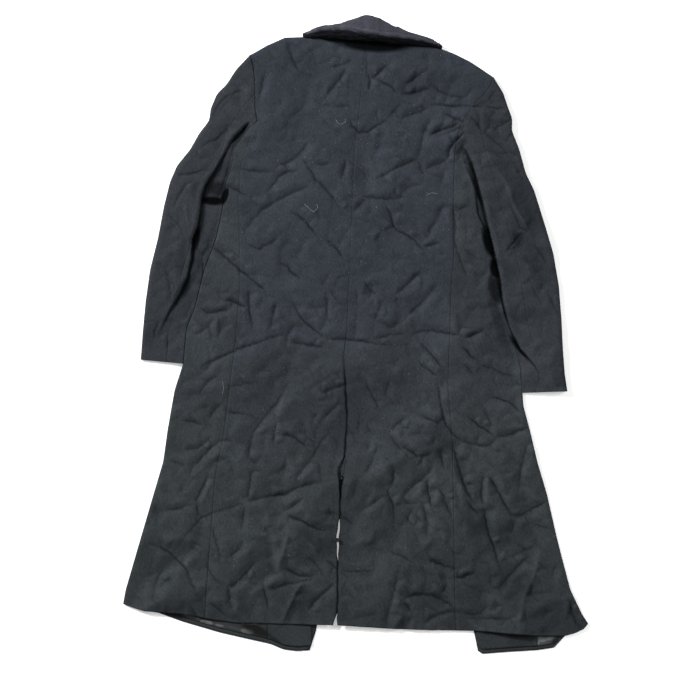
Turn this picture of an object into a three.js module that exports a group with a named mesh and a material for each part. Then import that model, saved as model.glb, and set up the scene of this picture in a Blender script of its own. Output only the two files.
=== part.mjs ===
// A long heavy wool overcoat of military cut, unbuttoned and laid flat, face down, with its back up.
// Millimetres. X runs across the coat, Y towards the collar, Z up from the surface it lies on.
import * as THREE from 'three';

// Cloth
const WOOL = 2.2;
const LINING = 1.0;
const SEAM_GAP = 0.3;
const LAY_GAP = 0.4;
const SLEEVE_GAP = 0.25;

// Rounded edges, where the cloth turns from the upper layer to the lower one
const SIDE_ROLL = 8;
const SIDE_TURN_UNDER = 45;
const SHOULDER_ROLL = 14;
const ROLL_STEPS = 4;
const LEAST_HEIGHT = 6.6;

// Rows of the body: a few close together under the shoulder, then even ones from the armpits to the hem
const YOKE_STEPS = [0, 0.03, 0.08, 0.2, 0.4, 0.6, 0.8, 1];
const ARMPIT_ROW = YOKE_STEPS.length - 1;
const HEM_ROW = ARMPIT_ROW + 30;

// Colours of the melton, the satin lining and the horn-like buttons
const NAVY = 0x33383f;
const SKIRT_NAVY = 0x33383b;
const SATIN = 0x4c4d50;
const BUTTON_BLACK = 0x1d1f22;

// Upper edge of the back: shoulder, neck seam, shoulder. z is the height of the cloth's edge there.
const BACK_TOP = [
  { x: -211.5, y: 559, z: 4.7 },
  { x: -205, y: 562, z: 4.7 },
  { x: -177, y: 578, z: 4.7 },
  { x: -141, y: 594, z: 4.7 },
  { x: -104, y: 595, z: 6 },
  { x: -70, y: 597, z: 9 },
  { x: -20, y: 598, z: 10 },
  { x: 20, y: 594, z: 10 },
  { x: 70, y: 587, z: 10 },
  { x: 120, y: 581, z: 9 },
  { x: 166, y: 573, z: 6 },
  { x: 197, y: 562, z: 4.7 },
  { x: 229, y: 546, z: 4.7 },
  { x: 253, y: 530, z: 4.7 },
  { x: 276.5, y: 514, z: 4.7 },
];

// Upper edge of the fronts, which dips between the shoulders for the neck opening
const FRONT_TOP = [
  { x: -211.5, y: 559 },
  { x: -205, y: 562 },
  { x: -177, y: 578 },
  { x: -141, y: 593 },
  { x: -112, y: 593 },
  { x: -90, y: 582 },
  { x: -50, y: 566 },
  { x: 50, y: 558 },
  { x: 120, y: 558 },
  { x: 150, y: 562 },
  { x: 176, y: 569 },
  { x: 197, y: 562 },
  { x: 229, y: 546 },
  { x: 253, y: 530 },
  { x: 276.5, y: 514 },
];

const ARMPIT_LINE = [
  { x: -202.5, y: 424 },
  { x: 211.5, y: 404 },
];

// Hem of the back, from the left corner to the right one
const BACK_HEM = [
  { x: -464, y: -538 },
  { x: -447, y: -544 },
  { x: -422, y: -552 },
  { x: -361, y: -556 },
  { x: -341, y: -558 },
  { x: -285, y: -569 },
  { x: -240, y: -575 },
  { x: -141, y: -577.5 },
  { x: -37, y: -580 },
  { x: 88, y: -588 },
  { x: 263, y: -592 },
  { x: 353, y: -600 },
  { x: 417, y: -602 },
  { x: 439, y: -596 },
  { x: 456, y: -588 },
  { x: 464.5, y: -578 },
];

// Hem of the fronts, which hang longer than the back as the coat lies
const FRONT_HEM = [
  { x: -464, y: -538 },
  { x: -447, y: -544 },
  { x: -422, y: -552 },
  { x: -394, y: -556 },
  { x: -347, y: -573 },
  { x: -272, y: -595 },
  { x: -220, y: -607 },
  { x: -170, y: -618 },
  { x: -145, y: -629 },
  { x: -117, y: -632.5 },
  { x: -80, y: -630 },
  { x: 240, y: -629 },
  { x: 254, y: -638 },
  { x: 308, y: -634 },
  { x: 362, y: -631 },
  { x: 397, y: -626 },
  { x: 411, y: -611 },
  { x: 419, y: -602 },
  { x: 439, y: -596 },
  { x: 456, y: -588 },
  { x: 464.5, y: -578 },
];

// Armholes, from the shoulder end down to the armpit, at each row of the yoke
const ARMHOLE_LEFT = [
  { step: 0, x: -211.5 },
  { step: 0.08, x: -209 },
  { step: 0.2, x: -205 },
  { step: 0.4, x: -202.5 },
  { step: 0.8, x: -201.5 },
  { step: 1, x: -197 },
];
const ARMHOLE_RIGHT = [
  { step: 0, x: 276.5 },
  { step: 0.2, x: 269 },
  { step: 0.4, x: 256 },
  { step: 0.6, x: 237 },
  { step: 0.8, x: 219 },
  { step: 1, x: 205 },
];

// Side edges of the body: beside the sleeve down to its cuff, and the free edge of the skirt below
const EDGE_LEFT = [
  { y: 424, x: -202.5 },
  { y: 396, x: -225 },
  { y: 372, x: -241 },
  { y: 336, x: -247 },
  { y: 304, x: -258 },
  { y: 258, x: -264 },
  { y: 194, x: -277 },
  { y: 130, x: -301 },
  { y: 52, x: -321 },
  { y: 10, x: -338 },
  { y: -58, x: -344 },
  { y: -110, x: -361 },
  { y: -190, x: -375 },
  { y: -254, x: -384 },
  { y: -318, x: -403 },
  { y: -414, x: -431 },
  { y: -510, x: -459 },
  { y: -538, x: -464 },
];
const EDGE_RIGHT = [
  { y: 404, x: 211.5 },
  { y: 374, x: 213 },
  { y: 340, x: 220 },
  { y: 292, x: 238 },
  { y: 241, x: 243 },
  { y: 216, x: 256 },
  { y: 148, x: 274 },
  { y: 38, x: 298 },
  { y: -10, x: 316 },
  { y: -64, x: 330 },
  { y: -142, x: 335 },
  { y: -190, x: 348 },
  { y: -254, x: 363 },
  { y: -318, x: 382 },
  { y: -414, x: 404 },
  { y: -510, x: 429 },
  { y: -558, x: 452 },
  { y: -578, x: 464.5 },
];

// Seams between the back and the side panels
const SIDE_SEAM_LEFT = [
  { y: 424, x: -197 },
  { y: 380, x: -214 },
  { y: 335, x: -229 },
  { y: 270, x: -233 },
  { y: 102, x: -230 },
  { y: -16, x: -240 },
  { y: -198, x: -263 },
  { y: -282, x: -280 },
  { y: -422, x: -291 },
  { y: -566, x: -301 },
];
const SIDE_SEAM_RIGHT = [
  { y: 404, x: 205 },
  { y: 370, x: 199 },
  { y: 298, x: 196 },
  { y: 170, x: 197 },
  { y: 84, x: 191 },
  { y: -106, x: 185 },
  { y: -204, x: 194 },
  { y: -590, x: 200 },
];

// Centre back: one seam down to the vent, then two free edges. Down to about y -230 the left one runs
// under the right one. lift parts the two layers where they lap.
const CENTRE_BACK = [
  { y: 600, left: 21, right: 21, lift: 0 },
  { y: 570, left: 19, right: 19, lift: 0 },
  { y: 450, left: 8, right: 8, lift: 0 },
  { y: 384, left: -1, right: -1, lift: 0 },
  { y: 186, left: -10, right: -10, lift: 0 },
  { y: 10, left: -17, right: -17, lift: 0.2 },
  { y: -45, left: -23, right: -23, lift: 1 },
  { y: -100, left: -12, right: -19, lift: 1 },
  { y: -172, left: -8, right: -16, lift: 1 },
  { y: -225, left: -13, right: -20, lift: 1 },
  { y: -262, left: -33, right: -21, lift: 1 },
  { y: -300, left: -36.5, right: -26.5, lift: 0.8 },
  { y: -370, left: -37, right: -32.5, lift: 0.4 },
  { y: -450, left: -37, right: -33, lift: 0.2 },
  { y: -480, left: -34, right: -33, lift: 0.2 },
  { y: -530, left: -37, right: -35.5, lift: 0.2 },
  { y: -580, left: -46, right: -38, lift: 0.2 },
];
const LAP_LIFT = 1.9;

// Free edges of the two fronts, apart at the hem and close together at the chest
const FRONT_EDGE = [
  { y: 570, left: -2, right: 14 },
  { y: 300, left: -8, right: 22 },
  { y: 0, left: -28, right: 62 },
  { y: -240, left: -42, right: 120 },
  { y: -450, left: -62, right: 190 },
  { y: -590, left: -78, right: 236 },
  { y: -638, left: -94, right: 246 },
];

// Outer edges of the sleeves, from the shoulder round the elbow to the cuff
const SLEEVE_EDGE_LEFT = [
  { x: -211.5, y: 559 },
  { x: -239, y: 530 },
  { x: -259, y: 499 },
  { x: -277, y: 482 },
  { x: -290, y: 452 },
  { x: -293, y: 428 },
  { x: -313, y: 402 },
  { x: -331, y: 370 },
  { x: -357, y: 338 },
  { x: -371, y: 306 },
  { x: -383, y: 258 },
  { x: -395, y: 194 },
  { x: -411, y: 130 },
  { x: -420, y: 66 },
  { x: -426, y: 2 },
  { x: -430, y: -50 },
];
const SLEEVE_EDGE_RIGHT = [
  { x: 276.5, y: 514 },
  { x: 296, y: 483 },
  { x: 306, y: 452 },
  { x: 314, y: 432 },
  { x: 313, y: 408 },
  { x: 328, y: 370 },
  { x: 341, y: 322 },
  { x: 357, y: 290 },
  { x: 377, y: 226 },
  { x: 396, y: 162 },
  { x: 407, y: 98 },
  { x: 412, y: 34 },
  { x: 415, y: -30 },
  { x: 419, y: -80 },
  { x: 424, y: -113 },
];
const CUFF_LEFT_Y = -58;
const CUFF_RIGHT_Y = -116;

// Places across a flattened sleeve, as shares of its width from its outer edge
const SLEEVE_ROLL_SHARE = 0.08;
const HINDARM_SHARE = 0.6;
const FOREARM_SHARE = 0.4;
const TOP_SLEEVE_UPPER = [0.6, 0.5, 0.4, 0.3, 0.2, 0.08];
const TOP_SLEEVE_UNDER = [0.08, 0.2, 0.4];
const UNDER_SLEEVE_UPPER = [0.6, 0.7, 0.8, 0.92];
const UNDER_SLEEVE_UNDER = [0.92, 0.8, 0.6, 0.4];
const ROWS_TURN = 1.35;
const CAP_FADE_ROWS = 5;

// Loft of the layers: height of the upper cloth's face above the surface
const BODY_LOFT = [
  { y: 600, z: 11.5 },
  { y: 520, z: 14 },
  { y: 400, z: 13.5 },
  { y: 200, z: 12 },
  { y: 0, z: 10.5 },
  { y: -200, z: 9.5 },
  { y: -420, z: 9 },
  { y: -600, z: 8.2 },
];
const SLEEVE_LOFT = [
  { share: 0, z: 14.5 },
  { share: 0.25, z: 17 },
  { share: 0.6, z: 15 },
  { share: 1, z: 10.5 },
];
// The hollow between the body and the inner fold of the sleeve, where the sleeve lies low
const ARM_HOLLOW = [
  { y: 424, depth: 2 },
  { y: 300, depth: 7 },
  { y: 210, depth: 8 },
  { y: 110, depth: 5 },
  { y: -60, depth: 0 },
];

// Largest folds: centre, length and heading of the crest or trough, its rise or fall, and its half width
const FOLDS = [
  { x: 50, y: 525, length: 60, heading: 45, rise: -3, width: 12 },
  { x: -41, y: 506, length: 70, heading: 55, rise: -2, width: 13 },
  { x: -192, y: 490, length: 66, heading: 84, rise: -2, width: 10 },
  { x: 118, y: 512, length: 80, heading: 38, rise: -2, width: 13 },
  { x: 168, y: 450, length: 120, heading: 10, rise: -2.5, width: 13 },
  { x: 185, y: 410, length: 90, heading: 24, rise: -3, width: 13 },
  { x: -125, y: 360, length: 80, heading: 37, rise: -2.5, width: 13 },
  { x: 78, y: 332, length: 96, heading: 24, rise: -2.5, width: 13 },
  { x: -60, y: 340, length: 100, heading: -16, rise: -2, width: 13 },
  { x: 52, y: 276, length: 90, heading: 0, rise: -2.5, width: 14 },
  { x: -150, y: 266, length: 170, heading: 39, rise: -2.5, width: 15 },
  { x: 86, y: 212, length: 96, heading: -49, rise: 2, width: 15 },
  { x: -231, y: 134, length: 124, heading: -42, rise: -3, width: 15 },
  { x: 106, y: 106, length: 80, heading: 39, rise: 2, width: 15 },
  { x: -211, y: 52, length: 76, heading: -86, rise: -2.5, width: 13 },
  { x: 114, y: 58, length: 128, heading: 41, rise: -2.5, width: 15 },
  { x: -82, y: 14, length: 120, heading: -35, rise: -3, width: 14 },
  { x: 178, y: 6, length: 150, heading: 0, rise: -2.5, width: 14 },
  { x: 4, y: -12, length: 112, heading: -6, rise: -2.5, width: 13 },
  { x: -225, y: -26, length: 190, heading: 22, rise: -3.2, width: 15 },
  { x: 130, y: -46, length: 90, heading: -51, rise: -2.5, width: 14 },
  { x: 112, y: -146, length: 100, heading: -39, rise: -2.5, width: 14 },
  { x: 178, y: -152, length: 136, heading: -68, rise: 2.5, width: 15 },
  { x: -191, y: -186, length: 130, heading: 59, rise: -3, width: 18 },
  { x: 278, y: -190, length: 130, heading: -9, rise: -3, width: 15 },
  { x: 212, y: -286, length: 104, heading: -64, rise: -3, width: 15 },
  { x: -130, y: -308, length: 140, heading: 9, rise: -2.8, width: 15 },
  { x: 145, y: -314, length: 70, heading: -88, rise: -2.5, width: 14 },
  { x: -327, y: -326, length: 106, heading: 40, rise: -2.8, width: 15 },
  { x: 344, y: -352, length: 76, heading: 28, rise: -2.5, width: 15 },
  { x: -101, y: -372, length: 84, heading: -21, rise: -2.5, width: 14 },
  { x: 272, y: -412, length: 94, heading: -71, rise: -2.8, width: 16 },
  { x: 352, y: -470, length: 126, heading: 72, rise: 2.5, width: 18 },
  { x: -225, y: -480, length: 76, heading: 47, rise: -2.5, width: 14 },
  { x: -105, y: -478, length: 86, heading: -16, rise: -2.5, width: 14 },
  { x: -66, y: -522, length: 80, heading: 40, rise: -2.2, width: 14 },
  { x: -330, y: 322, length: 60, heading: 8, rise: -3, width: 13 },
  { x: -296, y: 384, length: 90, heading: 35, rise: -3, width: 13 },
  { x: -344, y: 280, length: 72, heading: 55, rise: -3, width: 13 },
  { x: 290, y: 418, length: 54, heading: 35, rise: -3, width: 13 },
  { x: 322, y: 258, length: 80, heading: -63, rise: 2.5, width: 13 },
  { x: 318, y: 184, length: 44, heading: 47, rise: -3, width: 13 },
  { x: 338, y: -40, length: 56, heading: -47, rise: -2.5, width: 12 },
];

// Collar, from its left end to its right one: the free edge of the fall and how far it stands off the back,
// the crest where the collar turns over, and the outer edge of the leaf beyond the crest
const COLLAR = [
  { x: -104, fallY: 589, lift: 0.8, crestY: 597, crestZ: 19, leafY: 599.5 },
  { x: -88, fallY: 592, lift: 1.5, crestY: 603, crestZ: 26, leafY: 607.5 },
  { x: -68, fallY: 594, lift: 3, crestY: 609, crestZ: 33, leafY: 613.5 },
  { x: -38, fallY: 592, lift: 5, crestY: 612, crestZ: 39, leafY: 616.5 },
  { x: -10, fallY: 590, lift: 7, crestY: 612, crestZ: 43, leafY: 628 },
  { x: 18, fallY: 588.5, lift: 8, crestY: 604, crestZ: 45, leafY: 638 },
  { x: 46, fallY: 586, lift: 7.5, crestY: 600, crestZ: 44, leafY: 632 },
  { x: 70, fallY: 581, lift: 7, crestY: 597, crestZ: 42, leafY: 618.5 },
  { x: 98, fallY: 580, lift: 6, crestY: 594, crestZ: 39, leafY: 607 },
  { x: 124, fallY: 577, lift: 4, crestY: 590, crestZ: 33, leafY: 598 },
  { x: 146, fallY: 574, lift: 2, crestY: 586, crestZ: 27, leafY: 592 },
  { x: 160, fallY: 571, lift: 1.2, crestY: 581, crestZ: 22, leafY: 585.5 },
  { x: 172, fallY: 565, lift: 0.8, crestY: 573, crestZ: 18, leafY: 576.5 },
];
const COLLAR_STEP = 14;
const STAND_INSET = 16;
const STAND_SHARE = 0.45;
const LEAF_CLEARANCE = 12;

// Underlay of the vent, buttons of the vent and of the front
const UNDERLAY = { top: -228, bottom: -362, left: -52, right: -8, wall: 1.6 };
const VENT_BUTTONS = [
  { name: 'vent_button_1', x: -29.6, y: -285, onUnderlay: true },
  { name: 'vent_button_2', x: -36.8, y: -410, onUnderlay: false },
];
const VENT_BUTTON = { radius: 4.6, height: 2.4 };
const FRONT_BUTTON = { radius: 12, height: 3, inset: 22 };
const FRONT_BUTTON_HEIGHTS = [330, 210, 90, -30, -150];
const FRONT_COLUMNS = [0, 0.35, 0.68, 0.8, 1];
const BUTTON_STAND = { width: 48, ramp: 25, rise: 3.6, room: 0.7, top: 372, bottom: -192, fade: 40 };

// Facings and linings that show below the hem of the back: their span, and the wool left bare below them
const HEM_SHOWS_FROM = 24;
const HEM_PIECES = [
  { name: 'facing_left', from: -176, to: -88, wall: 2, bare: 9, color: NAVY },
  { name: 'lining_left', from: -352, to: -176.3, wall: LINING, bare: 9, color: SATIN },
  { name: 'facing_right', from: 242, to: 363, wall: 2, bare: 9, color: NAVY },
  { name: 'lining_right', from: 363.3, to: 404, wall: LINING, bare: 9, color: SATIN },
];

const lerp = THREE.MathUtils.lerp;
const clamp = THREE.MathUtils.clamp;

// One column of a table at a place between its rows
function readTable(table, key, place, column) {
  const rising = table[table.length - 1][key] > table[0][key];
  const before = (row) => (rising ? row[key] <= place : row[key] >= place);
  let index = 0;
  while (index < table.length - 2 && before(table[index + 1])) {
    index += 1;
  }
  const start = table[index];
  const end = table[index + 1];
  const share = clamp((place - start[key]) / (end[key] - start[key]), 0, 1);
  return lerp(start[column], end[column], share);
}

// Height of all the folds at a place
function foldsAt(x, y) {
  let height = 0;
  for (const fold of FOLDS) {
    const turn = THREE.MathUtils.degToRad(fold.heading);
    const dx = x - fold.x;
    const dy = y - fold.y;
    const along = (dx * Math.cos(turn) + dy * Math.sin(turn)) / (fold.length / 2);
    const across = (dy * Math.cos(turn) - dx * Math.sin(turn)) / fold.width;
    height += fold.rise * Math.exp(-(across ** 2)) * Math.exp(-(along ** 4));
  }
  return height;
}

// Height of the right front's button stand, which lies on its buttons
function buttonStandRise(x, y) {
  const inset = x - readTable(FRONT_EDGE, 'y', y, 'right');
  const across = 1 - THREE.MathUtils.smoothstep(inset, BUTTON_STAND.width, BUTTON_STAND.width + BUTTON_STAND.ramp);
  const below = THREE.MathUtils.smoothstep(y, BUTTON_STAND.bottom - BUTTON_STAND.fade, BUTTON_STAND.bottom);
  const above = 1 - THREE.MathUtils.smoothstep(y, BUTTON_STAND.top, BUTTON_STAND.top + BUTTON_STAND.fade);
  return BUTTON_STAND.rise * across * below * above;
}

// Face of the back's cloth, before its upper edge rolls down to the shoulder seam
function bodyLoft(x, y) {
  const least = LEAST_HEIGHT + (x > 0 ? BUTTON_STAND.room * buttonStandRise(x, y) : 0);
  return Math.max(readTable(BODY_LOFT, 'y', y, 'z') + foldsAt(x, y), least);
}

function backHeight(x, y) {
  const inset = clamp((readTable(BACK_TOP, 'x', x, 'y') - y) / SHOULDER_ROLL, 0, 1);
  const roll = Math.sqrt(1 - (1 - inset) ** 2);
  return lerp(readTable(BACK_TOP, 'x', x, 'z'), bodyLoft(x, y), roll);
}

// Y of a row of the body at a place across it, between an upper edge and a hem
function rowY(x, row, top, hem) {
  const armpit = readTable(ARMPIT_LINE, 'x', x, 'y');
  if (row <= ARMPIT_ROW) {
    return lerp(readTable(top, 'x', x, 'y'), armpit, YOKE_STEPS[row]);
  }
  return lerp(armpit, readTable(hem, 'x', x, 'y'), (row - ARMPIT_ROW) / (HEM_ROW - ARMPIT_ROW));
}

// Where a row of the body meets a line that is given as x by y
function rowMeets(line, column, row, top, hem) {
  let x = line[0][column];
  let y = 0;
  for (let pass = 0; pass < 12; pass += 1) {
    y = rowY(x, row, top, hem);
    x = readTable(line, 'y', y, column);
  }
  return new THREE.Vector2(x, y);
}

// The two halves of the coat. outward is -1 on the left and 1 on the right.
const HALVES = {
  left: {
    outward: -1,
    armhole: ARMHOLE_LEFT,
    edge: EDGE_LEFT,
    seam: SIDE_SEAM_LEFT,
    sleeve: SLEEVE_EDGE_LEFT,
    cuffY: CUFF_LEFT_Y,
    sideColumns: 5,
  },
  right: {
    outward: 1,
    armhole: ARMHOLE_RIGHT,
    edge: EDGE_RIGHT,
    seam: SIDE_SEAM_RIGHT,
    sleeve: SLEEVE_EDGE_RIGHT,
    cuffY: CUFF_RIGHT_Y,
    sideColumns: 7,
  },
};

function armholePoint(half, row) {
  const x = readTable(half.armhole, 'step', YOKE_STEPS[row], 'x');
  return new THREE.Vector2(x, rowY(x, row, BACK_TOP, BACK_HEM));
}

function edgePoint(half, row) {
  const whole = Math.min(Math.floor(row), HEM_ROW - 1);
  const start = rowMeets(half.edge, 'x', whole, BACK_TOP, BACK_HEM);
  const end = rowMeets(half.edge, 'x', whole + 1, BACK_TOP, BACK_HEM);
  return start.lerp(end, row - whole);
}

// A closed wall from the grid of points on its outer face and the like grid on its inner face
function clothWall(name, outer, inner, color) {
  const rows = outer.length;
  const columns = outer[0].length;
  const positions = [];
  for (const grid of [outer, inner]) {
    for (const row of grid) {
      for (const point of row) {
        positions.push(point.x, point.y, point.z);
      }
    }
  }
  const vertex = (side, row, column) => side * rows * columns + row * columns + column;
  const triangles = [];
  const quad = (a, b, c, d) => triangles.push(a, b, c, a, c, d);
  for (let row = 0; row < rows - 1; row += 1) {
    for (let column = 0; column < columns - 1; column += 1) {
      const corners = [[row, column], [row + 1, column], [row + 1, column + 1], [row, column + 1]];
      const [a, b, c, d] = corners.map(([r, k]) => vertex(0, r, k));
      const [e, f, g, h] = corners.map(([r, k]) => vertex(1, r, k));
      quad(a, b, c, d);
      triangles.push(e, g, f, e, h, g);
    }
  }
  const rim = [];
  for (let column = 0; column < columns - 1; column += 1) {
    rim.push([0, column]);
  }
  for (let row = 0; row < rows - 1; row += 1) {
    rim.push([row, columns - 1]);
  }
  for (let column = columns - 1; column > 0; column -= 1) {
    rim.push([rows - 1, column]);
  }
  for (let row = rows - 1; row > 0; row -= 1) {
    rim.push([row, 0]);
  }
  rim.forEach(([row, column], index) => {
    const [nextRow, nextColumn] = rim[(index + 1) % rim.length];
    quad(vertex(0, row, column), vertex(0, nextRow, nextColumn), vertex(1, nextRow, nextColumn), vertex(1, row, column));
  });
  return solidMesh(name, positions, triangles, color);
}

// A mesh whose faces point out of its closed body, whichever way its grid ran
function solidMesh(name, positions, triangles, color) {
  let volume = 0;
  const corner = (index) => new THREE.Vector3().fromArray(positions, index * 3);
  for (let index = 0; index < triangles.length; index += 3) {
    const [a, b, c] = [0, 1, 2].map((step) => corner(triangles[index + step]));
    volume += a.dot(b.cross(c));
  }
  const faces = volume < 0 ? triangles.toReversed() : triangles;
  const geometry = new THREE.BufferGeometry();
  geometry.setAttribute('position', new THREE.Float32BufferAttribute(positions, 3));
  geometry.setIndex(faces);
  geometry.computeVertexNormals();
  const mesh = new THREE.Mesh(geometry, new THREE.MeshStandardMaterial({ color, roughness: 0.95, metalness: 0 }));
  mesh.name = name;
  return mesh;
}

// Grid of a wall from a function that gives each point's outer and inner place
function wallFromGrid(name, rows, columns, pointAt, color) {
  const outer = [];
  const inner = [];
  for (const row of rows) {
    const pairs = columns.map((column) => pointAt(row, column));
    outer.push(pairs.map((pair) => pair.outer));
    inner.push(pairs.map((pair) => pair.inner));
  }
  return clothWall(name, outer, inner, color);
}

function numbers(from, to) {
  return Array.from({ length: to - from + 1 }, (_, index) => from + index);
}

function shares(count) {
  return numbers(0, count).map((index) => index / count);
}

// A point on a wall that lies flat, by its upper face
function layerPoint(x, y, z, wall) {
  return { outer: new THREE.Vector3(x, y, z), inner: new THREE.Vector3(x, y, z - wall) };
}

// Round an edge from the upper layer to the lower one. turn runs from 1 on top to -1 below; inset is the
// distance in from the edge.
function rollPoint(height, radius, turn) {
  const angle = (turn * Math.PI) / 2;
  const middle = height / 2;
  return {
    inset: radius - radius * Math.cos(angle),
    z: middle + middle * Math.sin(angle),
    innerInset: radius - (radius - WOOL) * Math.cos(angle),
    innerZ: middle + (middle - WOOL) * Math.sin(angle),
  };
}

const ROLL_TURNS = shares(ROLL_STEPS).map((share) => 1 - 2 * share);

function backPanel(name, half, columns) {
  const side = half.outward < 0 ? 'left' : 'right';
  const pointAt = (row, share) => {
    const outerEnd =
      row <= ARMPIT_ROW ? armholePoint(half, row) : rowMeets(half.seam, 'x', row, BACK_TOP, BACK_HEM);
    const outerGap = row < ARMPIT_ROW ? SLEEVE_GAP : SEAM_GAP / 2;
    const innerEnd = rowMeets(CENTRE_BACK, side, row, BACK_TOP, BACK_HEM);
    const outerX = outerEnd.x - half.outward * outerGap;
    const innerX = innerEnd.x + half.outward * (SEAM_GAP / 2);
    const x = lerp(outerX, innerX, share);
    const y = rowY(x, row, BACK_TOP, BACK_HEM);
    const nearVent = Math.exp(-(((x - innerX) / 22) ** 2));
    const lap = half.outward * LAP_LIFT * readTable(CENTRE_BACK, 'y', y, 'lift') * nearVent;
    return layerPoint(x, y, backHeight(x, y) + lap, WOOL);
  };
  return wallFromGrid(name, numbers(0, HEM_ROW), shares(columns), pointAt, NAVY);
}

function sideTurnUnder(row, radius) {
  return Math.min(SIDE_TURN_UNDER, radius + 2 + (row - ARMPIT_ROW) * 14);
}

// The seam under the side, where the turned-under cloth meets the front
function frontSeamX(half, row) {
  const edge = edgePoint(half, row);
  const seam = rowMeets(half.seam, 'x', row, BACK_TOP, BACK_HEM);
  const radius = Math.min(SIDE_ROLL, 0.8 * Math.abs(seam.x - edge.x));
  return edge.x - half.outward * sideTurnUnder(row, radius);
}

// From the side seam over the rounded edge, and under to the front
function sidePanel(name, half) {
  const columns = [
    ...shares(half.sideColumns).map((share) => ({ part: 'top', share })),
    ...ROLL_TURNS.slice(1).map((turn) => ({ part: 'roll', turn })),
    { part: 'under' },
  ];
  const pointAt = (row, column) => {
    const edge = edgePoint(half, row);
    const edgeX = edge.x - half.outward * SLEEVE_GAP;
    const seam = rowMeets(half.seam, 'x', row, BACK_TOP, BACK_HEM);
    const seamX = seam.x + half.outward * (SEAM_GAP / 2);
    const radius = Math.min(SIDE_ROLL, 0.8 * Math.abs(seamX - edgeX));
    const shoulderX = edgeX - half.outward * radius;
    if (column.part === 'top') {
      const x = lerp(seamX, shoulderX, column.share);
      const y = rowY(x, row, BACK_TOP, BACK_HEM);
      return layerPoint(x, y, bodyLoft(x, y), WOOL);
    }
    if (column.part === 'under') {
      const x = frontSeamX(half, row) + half.outward * (SEAM_GAP / 2);
      const y = rowY(x, row, BACK_TOP, BACK_HEM);
      return { outer: new THREE.Vector3(x, y, 0), inner: new THREE.Vector3(x, y, WOOL) };
    }
    const height = bodyLoft(shoulderX, rowY(shoulderX, row, BACK_TOP, BACK_HEM));
    const roll = rollPoint(height, radius, column.turn);
    const outerX = edgeX - half.outward * roll.inset;
    const innerX = edgeX - half.outward * roll.innerInset;
    const y = rowY(outerX, row, BACK_TOP, BACK_HEM);
    return { outer: new THREE.Vector3(outerX, y, roll.z), inner: new THREE.Vector3(innerX, y, roll.innerZ) };
  };
  return wallFromGrid(name, numbers(ARMPIT_ROW, HEM_ROW), columns, pointAt, SKIRT_NAVY);
}

// Flat on the surface, face down, from the armhole or the front seam to its free edge
function frontPanel(name, half) {
  const side = half.outward < 0 ? 'left' : 'right';
  const pointAt = (row, share) => {
    const outerX =
      row < ARMPIT_ROW
        ? armholePoint(half, row).x - half.outward * SLEEVE_GAP
        : frontSeamX(half, row) - half.outward * (SEAM_GAP / 2);
    const innerX = rowMeets(FRONT_EDGE, side, row, FRONT_TOP, FRONT_HEM).x;
    const x = lerp(outerX, innerX, share);
    const seamStep = rowY(outerX, row, BACK_TOP, BACK_HEM) - rowY(outerX, row, FRONT_TOP, FRONT_HEM);
    const y = rowY(x, row, FRONT_TOP, FRONT_HEM) + seamStep * (1 - share);
    const rise = half.outward > 0 ? buttonStandRise(x, y) : 0;
    return layerPoint(x, y, WOOL + rise, WOOL);
  };
  return wallFromGrid(name, numbers(0, HEM_ROW), FRONT_COLUMNS, pointAt, NAVY);
}

// A sleeve's outer edge at a share of its length
function sleeveEdgePoint(half, share) {
  const path = half.sleeve.map((point) => new THREE.Vector2(point.x, point.y));
  const lengths = [0];
  for (let index = 1; index < path.length; index += 1) {
    lengths.push(lengths[index - 1] + path[index].distanceTo(path[index - 1]));
  }
  const wanted = share * lengths[lengths.length - 1];
  let index = 1;
  while (index < path.length - 1 && lengths[index] < wanted) {
    index += 1;
  }
  const span = lengths[index] - lengths[index - 1];
  return path[index - 1].clone().lerp(path[index], (wanted - lengths[index - 1]) / span);
}

// The armhole at a share of its length, on straight lines between the rows of the yoke
function capPoint(half, share) {
  let row = 0;
  while (row < ARMPIT_ROW - 1 && YOKE_STEPS[row + 1] <= share) {
    row += 1;
  }
  const start = armholePoint(half, row);
  const end = row + 1 === ARMPIT_ROW ? edgePoint(half, ARMPIT_ROW) : armholePoint(half, row + 1);
  return start.lerp(end, (share - YOKE_STEPS[row]) / (YOKE_STEPS[row + 1] - YOKE_STEPS[row]));
}

// Rows of a sleeve: each joins a place on its outer edge to a place on the body's edge
function sleeveRows(half) {
  let cuffRow = ARMPIT_ROW;
  while (edgePoint(half, cuffRow).y > half.cuffY) {
    cuffRow += 0.05;
  }
  const places = [...numbers(ARMPIT_ROW, Math.floor(cuffRow - 0.3)), cuffRow];
  return places.map((place, index) => {
    const share = index / (places.length - 1);
    return {
      index,
      share,
      outerEnd: sleeveEdgePoint(half, 1 - (1 - share) ** ROWS_TURN),
      innerEnd: edgePoint(half, place),
    };
  });
}

function sleevePlace(half, row, across) {
  const place = row.outerEnd.clone().lerp(row.innerEnd, across);
  const capFade = Math.max(0, 1 - row.index / CAP_FADE_ROWS) ** 2;
  if (capFade > 0) {
    const straight = sleeveEdgePoint(half, 0).lerp(edgePoint(half, ARMPIT_ROW), across);
    place.addScaledVector(capPoint(half, across).sub(straight), capFade);
  }
  place.x += half.outward * SLEEVE_GAP;
  return place;
}

function sleeveHeight(place, share, across) {
  const nearBody = THREE.MathUtils.smoothstep(across, 0.62, 0.95);
  const hollow = nearBody * readTable(ARM_HOLLOW, 'y', place.y, 'depth');
  const loft = readTable(SLEEVE_LOFT, 'share', share, 'z') - hollow + foldsAt(place.x, place.y);
  return Math.max(loft, LEAST_HEIGHT);
}

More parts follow.
